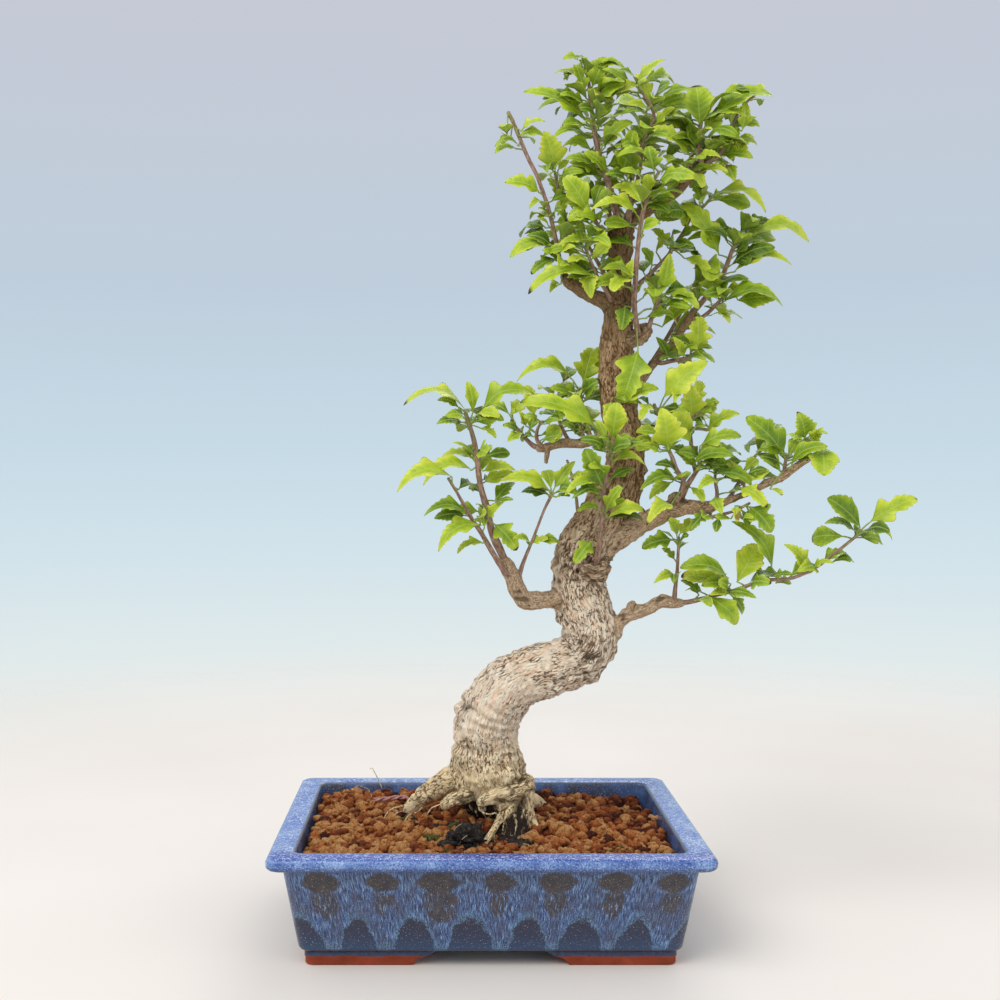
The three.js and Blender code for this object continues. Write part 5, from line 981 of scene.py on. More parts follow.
# leaves and shoots
def makeLeafSkin():
    # a ramp of greens by the leaf's own tone with its painted light and shade, yellower at the margin, with
    # a pale rib and side veins
    finish = Finish("leafSkin", 0.42, 0.33)
    share, out, lateral = finish.number("bladePlace", "Vector").parts()
    mottle = finish.place().noise(190.0)
    edge = abs(out).step(0.35, 1.0).most(share.step(0.6, 1.0) * 0.7)
    # the leaf's tone carries painted light, from above and from the left, and painted shade inside the crown
    toneAndLight = edge * 0.26 + ((mottle - 0.5) * 0.45 + finish.number("leafTone"))
    green = toneAndLight.ramp((0.0, 52, 78, 8), (0.25, 96, 129, 15), (0.5, 146, 172, 26), (0.75, 192, 206, 50),
                     (1.0, 232, 224, 90))
    wave = (finish.number("bladeVein") * 8.0).math("PINGPONG", 0.5)
    vein = abs(lateral).step(0.75, 0.2).most(wave.step(0.1, 0.0) * 0.7)
    skin = green.under(vein * 0.4, (192, 206, 96)).under(finish.number("bladeUnder") * 0.5, (158, 178, 88))
    skin = skin.under(abs(out).step(0.9, 1.0) * 0.5, (220, 222, 120))
    scar = finish.place().noise(52.0, 2.0, 0.5).step(0.71, 0.74)
    skin = skin.under(scar * 0.85, (132, 92, 44))
    skin = skin.under(finish.number("brownTip") * share.step(0.925, 0.975), (74, 52, 30))
    return finish.done(skin, vein * -0.9 + wave * 0.8, 0.55, 0.0005)


# a blade's right margin from base to tip, for a lobed, a scalloped and a pointed leaf: share along the
# blade, and how far out the margin lies as a share of the half width
bladeMargins = [
    [(0, 0.03), (0.07, 0.1), (0.13, 0.21), (0.18, 0.34), (0.24, 0.55), (0.29, 0.76), (0.33, 0.92),
     (0.37, 1), (0.41, 0.99), (0.44, 0.92), (0.46, 0.76), (0.48, 0.6), (0.51, 0.51), (0.55, 0.52),
     (0.6, 0.62), (0.64, 0.71), (0.68, 0.74), (0.71, 0.7), (0.727, 0.6), (0.75, 0.54), (0.79, 0.57),
     (0.825, 0.56), (0.845, 0.49), (0.865, 0.42), (0.9, 0.43), (0.93, 0.39), (0.95, 0.31), (0.975, 0.23),
     (1, 0.04)],
    [(0, 0.03), (0.08, 0.14), (0.16, 0.29), (0.24, 0.44), (0.32, 0.59), (0.39, 0.72), (0.45, 0.82),
     (0.5, 0.9), (0.55, 0.96), (0.59, 1), (0.625, 0.99), (0.65, 0.92), (0.668, 0.83), (0.69, 0.79),
     (0.72, 0.81), (0.755, 0.8), (0.78, 0.76), (0.795, 0.68), (0.815, 0.65), (0.845, 0.67), (0.87, 0.62),
     (0.888, 0.52), (0.905, 0.47), (0.93, 0.47), (0.95, 0.4), (0.965, 0.31), (0.98, 0.26), (0.99, 0.18),
     (1, 0.03)],
    [(0, 0.03), (0.07, 0.14), (0.14, 0.31), (0.2, 0.5), (0.26, 0.7), (0.31, 0.86), (0.35, 0.96), (0.39, 1),
     (0.43, 0.97), (0.46, 0.87), (0.48, 0.74), (0.51, 0.66), (0.55, 0.69), (0.59, 0.74), (0.62, 0.7),
     (0.64, 0.6), (0.66, 0.53), (0.7, 0.57), (0.735, 0.56), (0.76, 0.49), (0.775, 0.41), (0.81, 0.42),
     (0.84, 0.39), (0.86, 0.31), (0.9, 0.28), (0.93, 0.23), (0.955, 0.16), (0.98, 0.1), (1, 0.02)]]
# columns from margin to margin of a close and a plainer blade, its thickness in millimetres, how far the
# veins run forward, its ripple's height and waves, its tip's curl, its fold and sideways lean as shares, how
# rare brown tips are, and the leafstalk's radii
bladeLook = {"columns": [-1, -0.93, -0.5, 0, 0.5, 0.93, 1], "fewColumns": [-1, -0.92, 0, 0.92, 1],
             "thickness": 0.42, "forward": 0.34, "ripple": 0.17, "waves": 13, "curl": 0.3, "curlFrom": 0.72,
             "fold": 1.15, "lean": 0.05, "brownFrom": 0.85, "stalk": [0.8, 0.62, 0.56, 0.52, 0.5, 0.25]}


def bladeTemplate(margin, columns):
    # a grid from margin to margin: the veins run forward, so a margin point is joined to the rib behind it;
    # the lower face shares the margin's points, which closes the blade
    share, out = np.array(margin).T
    ribShare = np.maximum.accumulate(share - bladeLook["forward"] * out * (1 - 0.35 * share))
    ribShare = np.clip(ribShare, 0, 1) + np.linspace(0, 0.012, len(share))
    ribShare = ribShare / ribShare[-1]
    across = np.array(columns)
    along = ribShare[:, None] + (share - ribShare)[:, None] * np.abs(across)[None] ** 1.15
    lateral = out[:, None] * across[None]
    upper = np.arange(along.size).reshape(along.shape)
    inner = np.zeros(along.shape, bool)
    inner[1:-1, 1:-1] = True
    lower = upper.copy()
    lower[inner] = along.size + np.arange(inner.sum())
    top = gridFaces(*along.shape, False)
    faces = np.vstack([upper.ravel()[top][:, ::-1], lower.ravel()[top]])
    return along, lateral, np.broadcast_to(across, along.shape), inner, faces


fullBlades = [bladeTemplate(margin, bladeLook["columns"]) for margin in bladeMargins]
fewBlades = [bladeTemplate(margin[::2], bladeLook["fewColumns"]) for margin in bladeMargins]


def bladePoints(leaf, template, draw):
    # along the chord, lifted by the arch a as 4as(1 - s) at a share s, cupped with distance from the rib
    # and rippled at the margin by a sine; the last part curls down with the square of its share
    along, lateral, across, inner, _ = template
    chord = leaf["tip"] - leaf["base"]
    length = np.linalg.norm(chord)
    side = unit(np.cross(leaf["face"], chord))
    half = length * leaf["wide"] / 2
    lift = length * leaf["arch"] * 4 * along * (1 - along)
    lift = lift + half * np.abs(lateral) * leaf["cup"] * bladeLook["fold"]
    wave = np.sin(along * bladeLook["waves"] + draw() * 6.3 + across * 1.3)
    lift = lift + bladeLook["ripple"] * half * lateral ** 2 * wave
    curled = np.clip(along - bladeLook["curlFrom"], 0, 1) ** 2 * 4
    lift = lift - bladeLook["curl"] * length * curled * draw()
    lean = length * bladeLook["lean"] * (draw() - 0.5) * np.sin(along * math.pi)
    upper = (leaf["base"] + chord * along[..., None] + leaf["face"] * lift[..., None]
             + side * (half * lateral + lean)[..., None])
    thick = bladeLook["thickness"] * (1 - np.abs(across[inner]) ** 4)
    return np.vstack([upper.reshape(-1, 3), upper[inner] - leaf["face"] * thick[:, None]]), half


def addLeaf(parts, leaf, blades, draw, tone):
    # a curved leafstalk, then a blade of one of the three outlines
    start, base, tip = leaf["start"], leaf["base"], leaf["tip"]
    bend = (start + base) / 2 + np.array([0, 0, 0.12]) * np.linalg.norm(base - start)
    share = np.linspace(0, 1, 5)[:, None]
    stalk = start * (1 - share) ** 2 + bend * 2 * share * (1 - share) + base * share ** 2
    into = unit(tip - base) * 1.5 + leaf["face"] * 0.1
    body, faces, ends = tubeMesh(np.vstack([stalk, base + into]), np.array(bladeLook["stalk"]), 6)
    parts.add(body, faces, 1, ends)
    template = blades[int(draw() * len(blades))]
    points, half = bladePoints(leaf, template, draw)
    along, lateral, across, inner, faces = template
    place = np.stack([along, across, lateral * half], -1)
    rows = np.broadcast_to(np.linspace(0, 1, len(along))[:, None], along.shape)
    brown = float(draw() > bladeLook["brownFrom"])
    parts.add(points, faces, 0, bladePlace=np.vstack([place.reshape(-1, 3), place[inner]]), leafTone=tone,
              bladeUnder=np.repeat([0.0, 1.0], [along.size, inner.sum()]),
              bladeVein=np.concatenate([rows.ravel(), rows[inner]]), brownTip=brown)


def addStem(parts, rows, draw):
    # the stem as a tube with low nodes on it
    sides = 9
    points, radii = centreline(rows, 5)
    body, faces, ends = tubeMesh(points, radii * (0.88 + 0.1 * latticeNoise(points / 4.0, 9)), sides)
    rings = len(body) // sides
    share = np.repeat(np.linspace(0, 1, rings), sides)
    length = np.linalg.norm(np.diff(points, axis=0), axis=1).sum()
    parts.add(body, faces, 2, ends, stemShare=share,
              barkPlace=roundPlace(rings, sides, 1.6, share * length + draw() * 500))


# a leaf's tone from 0 dark to 1 light: its middle and spread, the painted light that height and the light
# from the left add, and how much darker an infill or far leaf is, partly its own darker green and partly
# painted shade inside the crown
shade = {"base": 0.42, "spread": 0.5, "topLight": 0.12, "topFrom": 150, "topOver": 400, "leftLight": 0.08,
         "leftFrom": 60, "leftOver": 100, "inner": 0.18, "lightest": 0.6}


def leafTone(leaf, measured, draw):
    # lighter with height and to the left, up to a limit, as painted light; darker inside the crown, partly
    # the inner leaves' own darker green and partly painted shade
    tone = shade["base"] + shade["spread"] * (draw() - 0.5)
    tone = tone + shade["topLight"] * (leaf["base"][2] - shade["topFrom"]) / shade["topOver"]
    toLeft = min(max((shade["leftFrom"] - leaf["base"][0]) / shade["leftOver"], 0), 1)
    return min(tone + shade["leftLight"] * toLeft, shade["lightest"]) - shade["inner"] * (not measured)


# leaves between the measured ones: how many for each of those, more and longer in the crown; then the
# least and most of a leaf's length as a share, leafstalk, heading's rise and form; how far under the top
# its tip and base stay, and its least length once it is held in
infill = {"perLeaf": 1.1, "crownMore": 1.0, "crownFrom": 330.0, "crownFade": 50, "crownLonger": 0.32,
          "least": 4, "longest": 29.0, "length": (0.68, 1.06), "stalk": (3.0, 7.2), "rise": (0.1, 0.9),
          "turn": (22, 72), "arch": (0.12, 0.3), "wide": (0.5, 0.78), "cup": (-0.14, 0.28), "droop": 0.34,
          "below": (7, 8), "shortest": 0.7}


def infillLeaves(stem, leaves, draw):
    # smaller leaves between the measured ones, a golden-angle step apart round the stem, each reaching no
    # further than the measured leaves do
    def between(key):
        low, high = infill[key]
        return low + (high - low) * draw()

    stations, _ = centreline(stem, 4)
    usual = min(np.mean([np.linalg.norm(leaf["tip"] - leaf["base"]) for leaf in leaves]), infill["longest"])
    joins = [int(np.argmin(np.linalg.norm(stations - leaf["start"], axis=1))) for leaf in leaves]
    crown = float(np.clip((stations[:, 2].mean() - infill["crownFrom"]) / infill["crownFade"], 0, 1))
    reached = np.array([leaf[end] for leaf in leaves for end in ("tip", "base")])
    topMost = reached[:, 2].max()
    count = max(infill["least"], round(len(leaves) * (infill["perLeaf"] + infill["crownMore"] * crown)))
    usual = usual * (1 + infill["crownLonger"] * crown)
    more = []
    for index in range(count):
        join = joins[index % len(joins)] + round((draw() - 0.5) * (5 + 14 * crown))
        start = stations[min(max(join, 3), len(stations) - 1)]
        angle = index * goldenAngle + draw() * 1.2
        heading = unit([math.cos(angle), math.sin(angle), between("rise")])
        length = usual * between("length")
        base = start + heading * between("stalk")
        tip = base + heading * length - np.array([0, 0, length * infill["droop"]])
        tip[2] = min(tip[2], topMost - infill["below"][0])
        tip[0] = min(max(tip[0], reached[:, 0].min()), reached[:, 0].max())
        base[2] = min(base[2], topMost - infill["below"][1])
        if np.linalg.norm(tip - base) < infill["shortest"] * length:
            continue
        face = faceFor(base, tip, between("turn"), draw() - 0.5)
        look = {key: between(key) for key in ("arch", "wide", "cup")}
        more.append({"start": start, "base": base, "tip": tip, "face": face, **look})
    return more


def makeShoots(materials):
    # one piece for each leafy shoot, with its measured or ruled leaves first and the infill after them
    laid = layOutLeaves()
    draw = drawsFrom(41).__next__
    for name, (stem, *_) in {**shoots, **farShoots}.items():
        parts = MeshParts()
        addStem(parts, stem, draw)
        inner = infillLeaves(stem, laid[name], draw)
        for index, leaf in enumerate(laid[name] + inner):
            measured = index < len(laid[name]) and name not in farShoots
            tone = leafTone(leaf, measured, draw)
            addLeaf(parts, leaf, fullBlades if measured else fewBlades, draw, tone)
        settlePiece(parts.build(name + "_leaves", materials), "foliage", name)


# the pot
potLook = {"width": 260.0, "depth": 194.0, "cornerSteps": 10, "holes": 60.0, "holeRadius": 9.0,
           "holeSteps": 48, "floorHalf": (96.0, 63.0), "floorLevels": (9.1, 15.9)}
# the drips' spacing and the first one's place round the wall, where the wide one is, the middle and half
# height of the ovals and of the ones below, the arches' lowest height and rise, and the flared feet's height
dripLook = {"pitch": 34.0, "start": 3.8, "wide": -29.0, "oval": (52.2, 6.6), "second": (40.0, 9.5),
            "arch": (9.5, 23.0), "foot": 12.6}

# the wall's section as a closed loop: height, inset from the rim, corner radius, and its zone
# (0 outer wall, 1 rim, 2 inner wall, 3 bare underside)
potSection = [
    (9, 36, 4, 3), (9, 20.2, 6.3, 3), (9.6, 18, 7.5, 0), (10.8, 17.1, 8, 0), (12.5, 16.8, 8, 0),
    (24, 14.7, 7.8, 0), (36, 12.7, 7.5, 0), (46, 11, 7.3, 0), (56.5, 9.2, 7, 0), (58.4, 8.7, 7, 0),
    (59.2, 8, 7, 0), (59.7, 6.6, 7, 0.4), (60, 4.6, 7, 0.6), (60.3, 2.6, 7, 0.8), (60.9, 1.3, 7, 1),
    (61.7, 0.6, 7, 1), (62.6, 0.2, 7, 1), (65, 0, 7, 1), (66.3, 0.4, 7, 1), (67.2, 1.1, 7, 1),
    (67.7, 2.1, 7, 1), (68, 3.4, 7, 1), (68.15, 8, 6.5, 1), (68, 12.6, 6, 1), (67.8, 14.1, 6, 1.2),
    (67.3, 15.2, 6, 1.6), (66.4, 15.9, 6, 1.9), (65.2, 16.1, 6, 2), (60, 16.6, 6, 2), (22, 22, 7, 2),
    (16.3, 26, 7, 2), (16, 36, 4, 2)]


def roundedRing(inset, radius, steps):
    # a rounded rectangle seen from above, anticlockwise from the right back corner
    angle = (np.arange(4)[:, None] + np.arange(steps + 1)[None] / steps) * math.pi / 2
    signs = np.array([[1, 1], [-1, 1], [-1, -1], [1, -1]])
    half = np.array([potLook["width"], potLook["depth"]]) / 2 - inset - radius
    ring = (signs * half)[:, None] + radius * np.stack([np.cos(angle), np.sin(angle)], -1)
    return ring.reshape(-1, 2)


def dripPattern(around, height, flat):
    # where the glaze ran: rough and fray are the edges' unevenness; between is 0 in the middle of a drip
    # and 1 half way to the next, by a cosine; navy is the arch between two drips, which end in flared feet
    wobble = flat.drawn(1, 0.4, 1).noise(0.035, 2.0) - 0.5
    bent = wobble * 15.0 + (around - dripLook["start"])
    between = 0.5 - (bent * (2 * math.pi / dripLook["pitch"])).math("COSINE") * 0.5
    rough = flat.noise(0.2, 4.0) - 0.5
    fray = flat.drawn(1, 0.5, 1).noise(0.9, 2.0) - 0.5
    vault = between.math("SUBTRACT", 0.13, clamp=True).math("POWER", 0.55)
    lowest, high = dripLook["arch"]
    below = fray * 6.0 + (rough * 9.0 + (vault * high + lowest)) - height
    rise = (height - dripLook["foot"]) * 0.3
    foot = between * -4.6 + (fray * 1.2 + 1.0) - rise * rise
    return between, rough, fray, below, foot, below.step(-1.6, 2.0) * foot.step(0.2, -0.1)


def wallGlaze(around, height, flat):
    # fine blue streaks over slate, brown ovals under the rim with a fainter one below each, wider and
    # darker at one drip, and navy arches with teal flecks along their edge
    between, rough, fray, below, foot, navy = dripPattern(around, height, flat)
    streak = flat.drawn(1, 0.13, 1).noise(1.35, 5.0, 0.66)
    wall = streak.ramp((0.36, 36, 36, 48), (0.45, 52, 64, 96), (0.53, 74, 100, 148), (0.6, 108, 138, 178),
                       (0.69, 168, 192, 208))
    broad = flat.drawn(1, 0.5, 1).noise(0.09)
    wall = wall.under(broad.step(0.42, 0.62) * 0.55, (66, 66, 84))
    wide = abs(around - dripLook["wide"]).step(20.0, 5.0)
    size = wide * 0.5 + (flat.drawn(1, 0, 1).noise(0.024, 1.0) - 0.5)
    high, low = [(height - middle) * (1 / half) for middle, half in (dripLook["oval"], dripLook["second"])]
    oval = between * -1.3 + (rough * 0.8 + (size * 0.7 + 1.0)) - high * high
    second = between * -2.4 + (rough * 1.8 + (size * 2.6 + 1.0)) - low * low
    thin = second.step(0.0, 0.5) * streak.step(0.64, 0.52)
    patch = (fray * 0.7 + oval).step(0.05, 0.35).most(thin * 0.92)
    halo = oval.step(-0.55, -0.15) * oval.step(0.15, -0.05)
    wall = wall.under(halo * (streak.step(0.4, 0.6) * 0.5), (120, 152, 190))
    wall = wall.under(patch * 0.93, (rough + 0.5).ramp((0.35, 48, 43, 44), (0.65, 74, 62, 56)))
    arch = (height * (1 / 34)).ramp((0.3, 44, 68, 100), (0.6, 44, 50, 74), (0.95, 46, 44, 60))
    wall = wall.under(navy, arch)
    edge = (below.step(-7.0, -1.0) * below.step(2.2, 0.0)).most(foot.step(-0.1, 0.3))
    tealFleck = flat.drawn(1, 0.55, 1).noise(1.5, 2.0, 0.5).step(0.46, 0.64)
    wall = wall.under(edge * (tealFleck * 0.75), (102, 146, 170))
    wall = wall.under(flat.drawn(1, 0.7, 1).noise(1.7, 2.0, 0.5).step(0.65, 0.7) * 0.7, (196, 206, 224))
    # painted shade on the wall's rounded lower edge, where it turns under towards the feet
    wall = wall.under(height.step(11.6, 10.2) * 0.7, (50, 54, 68))
    relief = (1.0 - navy) * 0.5 + (fray * 0.5 + streak * 0.5)
    return wall, patch, relief


def makeGlaze():
    # running glaze on the wall; the lip is a speckled periwinkle, deeper cobalt along its front
    finish = Finish("glazeBlue", 0.24, 0.5)
    unrolled = finish.read("ShaderNodeUVMap", 0, {"uv_map": "glazeAt"})
    around, height = [part * 100.0 for part in unrolled.parts()[:2]]
    flat = finish.read("ShaderNodeCombineXYZ", 0, None, X=around, Y=height)
    wall, patch, relief = wallGlaze(around, height, flat)
    zone, place = finish.number("potZone"), finish.place()
    fine = place.noise(1050.0, 3.0, 0.7)
    blotch = place.noise(60.0)
    top = height.step(66.8, 67.9)
    flatTop = blotch.ramp((0.34, 84, 118, 190), (0.5, 108, 138, 196), (0.66, 138, 164, 208))
    flatTop = flatTop.under(place.parts()[1].step(-0.076, -0.084) * 0.9, (34, 70, 162))
    lip = blotch.ramp((0.32, 70, 98, 156), (0.5, 102, 132, 184), (0.68, 140, 168, 208)).under(top, flatTop)
    # painted shade on the lip's lower edge, which faces down
    lip = lip.under(height.step(64.0, 62.0) * 0.75, (54, 70, 116))
    lip = lip.under(fine.step(0.49, 0.38) * 0.8, (34, 58, 134))
    lip = lip.under(fine.step(0.55, 0.66) * 0.5, (196, 214, 240))
    # white worms on the flat top: partly pale crackle in the glaze, partly painted highlights
    white = abs(place.noise(330.0, 2.0, 0.4) - 0.5).step(0.03, 0.01) * top
    lip = lip.under(white * 0.6, (230, 238, 248))
    inside = blotch.ramp((0.34, 84, 112, 164), (0.5, 66, 84, 126), (0.64, 70, 68, 74))
    inside = inside.under(fine.step(0.54, 0.64) * 0.75, (132, 158, 196))
    skin = wall.under(zone.step(0.3, 0.9), lip).under(zone.step(1.5, 1.9), inside)
    skin = skin.under(zone.step(1.25, 1.5) * zone.step(1.98, 1.7) * 0.75, (92, 96, 84))
    finish.send(fine * 0.12 + (patch * 0.14 + 0.12), "Roughness")
    return finish.done(skin, fine * 0.25 + relief, 0.4, 0.0006)


def makeBareClay():
    # red stoneware with coarse grain, under a thin slate wash of glaze on the upper part of the feet
    finish = Finish("bareClay", 0.85, 0.3)
    place = finish.place()
    crumbs, pits = place.grouped(grain, Size=520.0)
    broad = place.noise(60.0)
    skin = broad.ramp((0.3, 130, 54, 31), (0.55, 160, 70, 41), (0.75, 184, 96, 60))
    skin = skin.under(pits * 0.6, (84, 38, 26))
    washed = (broad * 0.003 + place.parts()[2]).step(0.0066, 0.0074)
    skin = skin.under(washed, crumbs.ramp((0.5, 50, 52, 66), (0.9, 72, 82, 112)))
    finish.send(washed * -0.5 + 0.85, "Roughness")
    return finish.done(skin, crumbs, 0.6, 0.0005)


def addFloorPlate(parts, hole):
    # half of the floor: a plate from a drainage hole out to the half's rectangle
    look = potLook
    turn = circle(look["holeSteps"])
    ray = np.stack([np.cos(turn), np.sin(turn)], 1)
    halfX, halfY = look["floorHalf"]
    low = np.array([-halfX if hole < 0 else 0.0, -halfY]) - [hole, 0]
    high = np.array([0.0 if hole < 0 else halfX, halfY]) - [hole, 0]
    reach = np.where(ray > 0, high, low) / np.where(np.abs(ray) < 1e-6, 1e-6, ray)
    outer = ray * np.min(np.where(reach > 0, reach, 1e9), 1)[:, None] + [hole, 0]
    inner = ray * look["holeRadius"] + [hole, 0]
    bottom, top = look["floorLevels"]
    loop = np.vstack([np.column_stack([ring, np.full(len(turn), level)])
                      for ring, level in ((inner, top), (inner, bottom), (outer, bottom), (outer, top))])
    parts.add(loop, (gridFaces(5, len(turn), True) % len(loop))[:, ::-1], 1)


def makePot(glaze, clay):
    # the wall is its section carried round a rounded rectangle; the floor is two plates; a foot is a strip
    # of plinth round each corner with sloped ends
    steps = potLook["cornerSteps"]
    section = np.array(potSection)
    rings = [np.column_stack([roundedRing(inset, radius, steps), np.full(4 * (steps + 1), height)])
             for height, inset, radius, _ in potSection]
    columns = len(rings[0])
    nominal = roundedRing(10, 7, steps)
    gaps = np.linalg.norm(np.roll(nominal, -1, 0) - nominal, axis=1)
    around = np.concatenate([[0], np.cumsum(gaps)])
    front = 3 * (steps + 1)
    around = around - (around[front - 1] + around[front]) / 2
    faces = gridFaces(len(rings) + 1, columns, True)
    parts = MeshParts()
    zones = np.repeat(section[:, 3], columns)
    parts.add(np.vstack(rings), faces % (len(rings) * columns), 0, potZone=zones)
    cell = np.arange(len(faces))
    column, row = cell % columns, cell // columns
    heights = np.append(section[:, 0], section[0, 0])
    uvs = np.stack([np.stack([around[column + right], heights[row + up]], -1)
                    for right, up in ((0, 0), (1, 0), (1, 1), (0, 1))], 1)
    parts.slots = np.where((row == 0) | (row == len(rings) - 1), 1, 0).tolist()
    for side in (-1, 1):
        addFloorPlate(parts, side * potLook["holes"])
    for signX, signY in ((1, 1), (-1, 1), (-1, -1), (1, -1)):
        parts.add(*footStrip(signX, signY))
    piece = parts.build("pot_glazed", [glaze, clay])
    corners = np.zeros((len(piece.data.loops), 2))
    corners[:len(faces) * 4] = uvs.reshape(-1, 2) / 100
    piece.data.uv_layers.new(name="glazeAt").data.foreach_set("uv", corners.ravel())
    settlePiece(piece, "glaze", "pot")


# the feet: half the gaps in the long and short sides, how many points an outline has along each and round
# a corner, how the lower edge lifts towards a gap, where a share of the distance counts along the short
# sides, and the plinth's section as a loop of inset, corner radius and lowest height
footLook = {"gaps": (31, 17), "steps": (25, 15), "corner": 9, "away": (31, 38, 42.5, 45.4),
            "lift": (9.0, 5.0, 4.6, 0.0), "sideShare": 0.55, "sideTo": 60,
            "section": ((20.5, 5.2, 9.8), (20.5, 5.2, 4.9), (21.0, 5.0, 4.4), (21.0, 5.0, 0.8),
                        (21.8, 4.6, 0.0), (33.2, 4.0, 0.0), (34.0, 4.0, 0.8), (34.0, 4.0, 9.8))}


def plinthQuarter(inset, radius):
    # the plinth's outline from the gap in the right side round the right back corner to the gap in the back
    turn = np.linspace(0, math.pi / 2, footLook["corner"])
    edgeX, edgeY = potLook["width"] / 2 - inset, potLook["depth"] / 2 - inset
    (gapX, gapY), (stepsX, stepsY) = footLook["gaps"], footLook["steps"]
    up = np.linspace(gapY, edgeY - radius, stepsY)[:-1]
    back = np.linspace(edgeX - radius, gapX, stepsX)[1:]
    arc = np.stack([edgeX - radius + np.cos(turn) * radius, edgeY - radius + np.sin(turn) * radius], 1)
    return np.vstack([np.stack([np.full(len(up), edgeX), up], 1), arc,
                      np.stack([back, np.full(len(back), edgeY)], 1)])


def footStrip(signX, signY):
    # one corner of the plinth: an outline quarter, offset inwards, its lower edge lifting towards both gaps
    rows = []
    for inset, radius, level in footLook["section"]:
        path = plinthQuarter(inset, radius)
        beside = path[:, 1] < footLook["sideTo"]
        away = np.where(beside, path[:, 1] / footLook["sideShare"], path[:, 0])
        height = np.maximum(np.interp(away, footLook["away"], footLook["lift"]), level)
        rows.append(np.column_stack([path * [signX, signY], height]))
    count = len(rows[0])
    faces = gridFaces(len(rows) + 1, count, False) % (len(rows) * count)
    start = [row * count for row in range(len(rows))]
    ends = [start, [corner + count - 1 for corner in start][::-1]]
    if signX * signY < 0:
        faces = faces[:, ::-1]
        ends = [end[::-1] for end in ends]
    return np.vstack(rows), faces[:, ::-1], 1, ends


# soil
# levels and sizes in millimetres; a layer is its height over the ground and its granules' share of size; a
# bud is a smaller lump: how far out it sits, how much it leans upwards, and its smallest and largest share;
# tone is the granules' middle lightness, with what X and Y take away, its spread and how rare pale ones are;
# under is the painted shade that darkens the lower layer of granules
soilLook = {"level": 61.0, "sink": 4.5, "mound": (7, 1100, 700), "pitch": 6.5, "jitter": 0.36,
            "smallest": 2.5, "largest": 4.3, "layers": ((0.6, 1.0), (-3.4, 1.05)), "uneven": (-1.6, 1.9),
            "palest": 0.68, "tone": (0.42, 0.0011, 0.0019, 0.28), "under": 0.16, "pale": (0.25, 0.993),
            "buds": ((0.72, 0.3, 0.45, 0.75), (0.88, 0.7, 0.3, 0.5)), "half": (113, 80),
            "clodAt": (462, 838, -42), "clodHalf": (12.5, 14, 7.5), "bedHalf": (112.6, 79.6),
            "bedGrid": (76, 54), "bedTaper": (0.93, 0.9), "bedBottom": 18.2, "bedDrop": 4.2}


def easeOver(value, low, high):
    # 0 up to low and 1 from high on, smooth between them
    share = np.clip((value - low) / (high - low), 0, 1)
    return share * share * (3 - 2 * share)


def groundHeight(x, y):
    # level, sinking to the right back corner and mounded up at the foot of the trunk
    sink = soilLook["sink"] * easeOver(x, 30, 110) * easeOver(y, -60, 60)
    high, wide, deep = soilLook["mound"]
    return soilLook["level"] - sink + high * np.exp(-(x ** 2 / wide + (y + 6) ** 2 / deep))


def makeGranuleClay():
    # fired clay: dark red brown to orange brown to tan by the granule's own tone, with painted light on its
    # top and painted shade below and in the gaps; crumbly, with pits and pores
    finish = Finish("granuleClay", 0.92, 0.2)
    place = finish.place()
    toneAndLight = (place.noise(420.0) - 0.5) * 0.5 + finish.number("grainTone")
    skin = toneAndLight.ramp((0.0, 78, 35, 19), (0.25, 150, 74, 36), (0.5, 206, 119, 60), (0.75, 234, 166, 98),
                    (0.93, 240, 188, 124), (1.0, 240, 208, 160))
    crumbs, pits = place.grouped(grain, Size=620.0)
    pores = place.noise(780.0, 3.0, 0.62)
    skin = skin.under(pits * 0.55, (62, 34, 22)).under(pores.step(0.49, 0.38) * 0.58, (98, 45, 22))
    skin = skin.under(pores.step(0.58, 0.7) * 0.3, (232, 164, 100))
    return finish.done(skin, pores * 0.8 + crumbs, 1.0, 0.0034)


# a lump's shape: how far its cube's corners and the ball's surface reach, its stretch and its dents
lumpLook = {"cube": 0.3, "ball": 0.74, "stretch": (0.78, 1.2), "dent": 0.2}


def lumpTemplate():
    # a rounded cube of 26 points and 24 quads: a cube's grid of threes, drawn most of the way to a ball
    parts, faces = [], []
    u, v = np.meshgrid(np.linspace(-1, 1, 3), np.linspace(-1, 1, 3), indexing="ij")
    for axis in range(3):
        for sign in (-1, 1):
            face = np.zeros((3, 3, 3))
            face[..., axis] = sign
            face[..., (axis + 1) % 3] = u if sign > 0 else v
            face[..., (axis + 2) % 3] = v if sign > 0 else u
            faces.append(gridFaces(3, 3, False)[:, ::-1] + 9 * len(parts))
            parts.append(face.reshape(-1, 3))
    unique, back = np.unique(np.vstack(parts), axis=0, return_inverse=True)
    body = unique * lumpLook["cube"] + unit(unique) * lumpLook["ball"]
    return body, back.ravel()[np.vstack(faces)]


def lumps(centres, radii, draws, flatness):
    # the rounded cube stretched, dented and turned for each centre: a quaternion with scalar part w and
    # axis part q turns v to v + 2 q x (q x v + w v)
    shape, faces = lumpTemplate()
    count = len(centres)
    spin = draws.normal(size=(count, 4))
    spin = (spin / np.linalg.norm(spin, axis=1, keepdims=True))[:, None]
    stretch = draws.uniform(*lumpLook["stretch"], (count, 1, 3))
    dents = 1 + draws.uniform(-lumpLook["dent"], lumpLook["dent"], (count, len(shape), 1))
    lump = shape[None] * stretch * dents
    scalar, axis = spin[..., :1], spin[..., 1:]
    turned = lump + 2 * np.cross(axis, np.cross(axis, lump) + scalar * lump)
    body = turned * radii[:, None, None] * [1, 1, flatness] + centres[:, None]
    whole = (faces[None] + np.arange(count)[:, None, None] * len(shape)).reshape(-1, 4)
    return body.reshape(-1, 3), whole, len(shape)


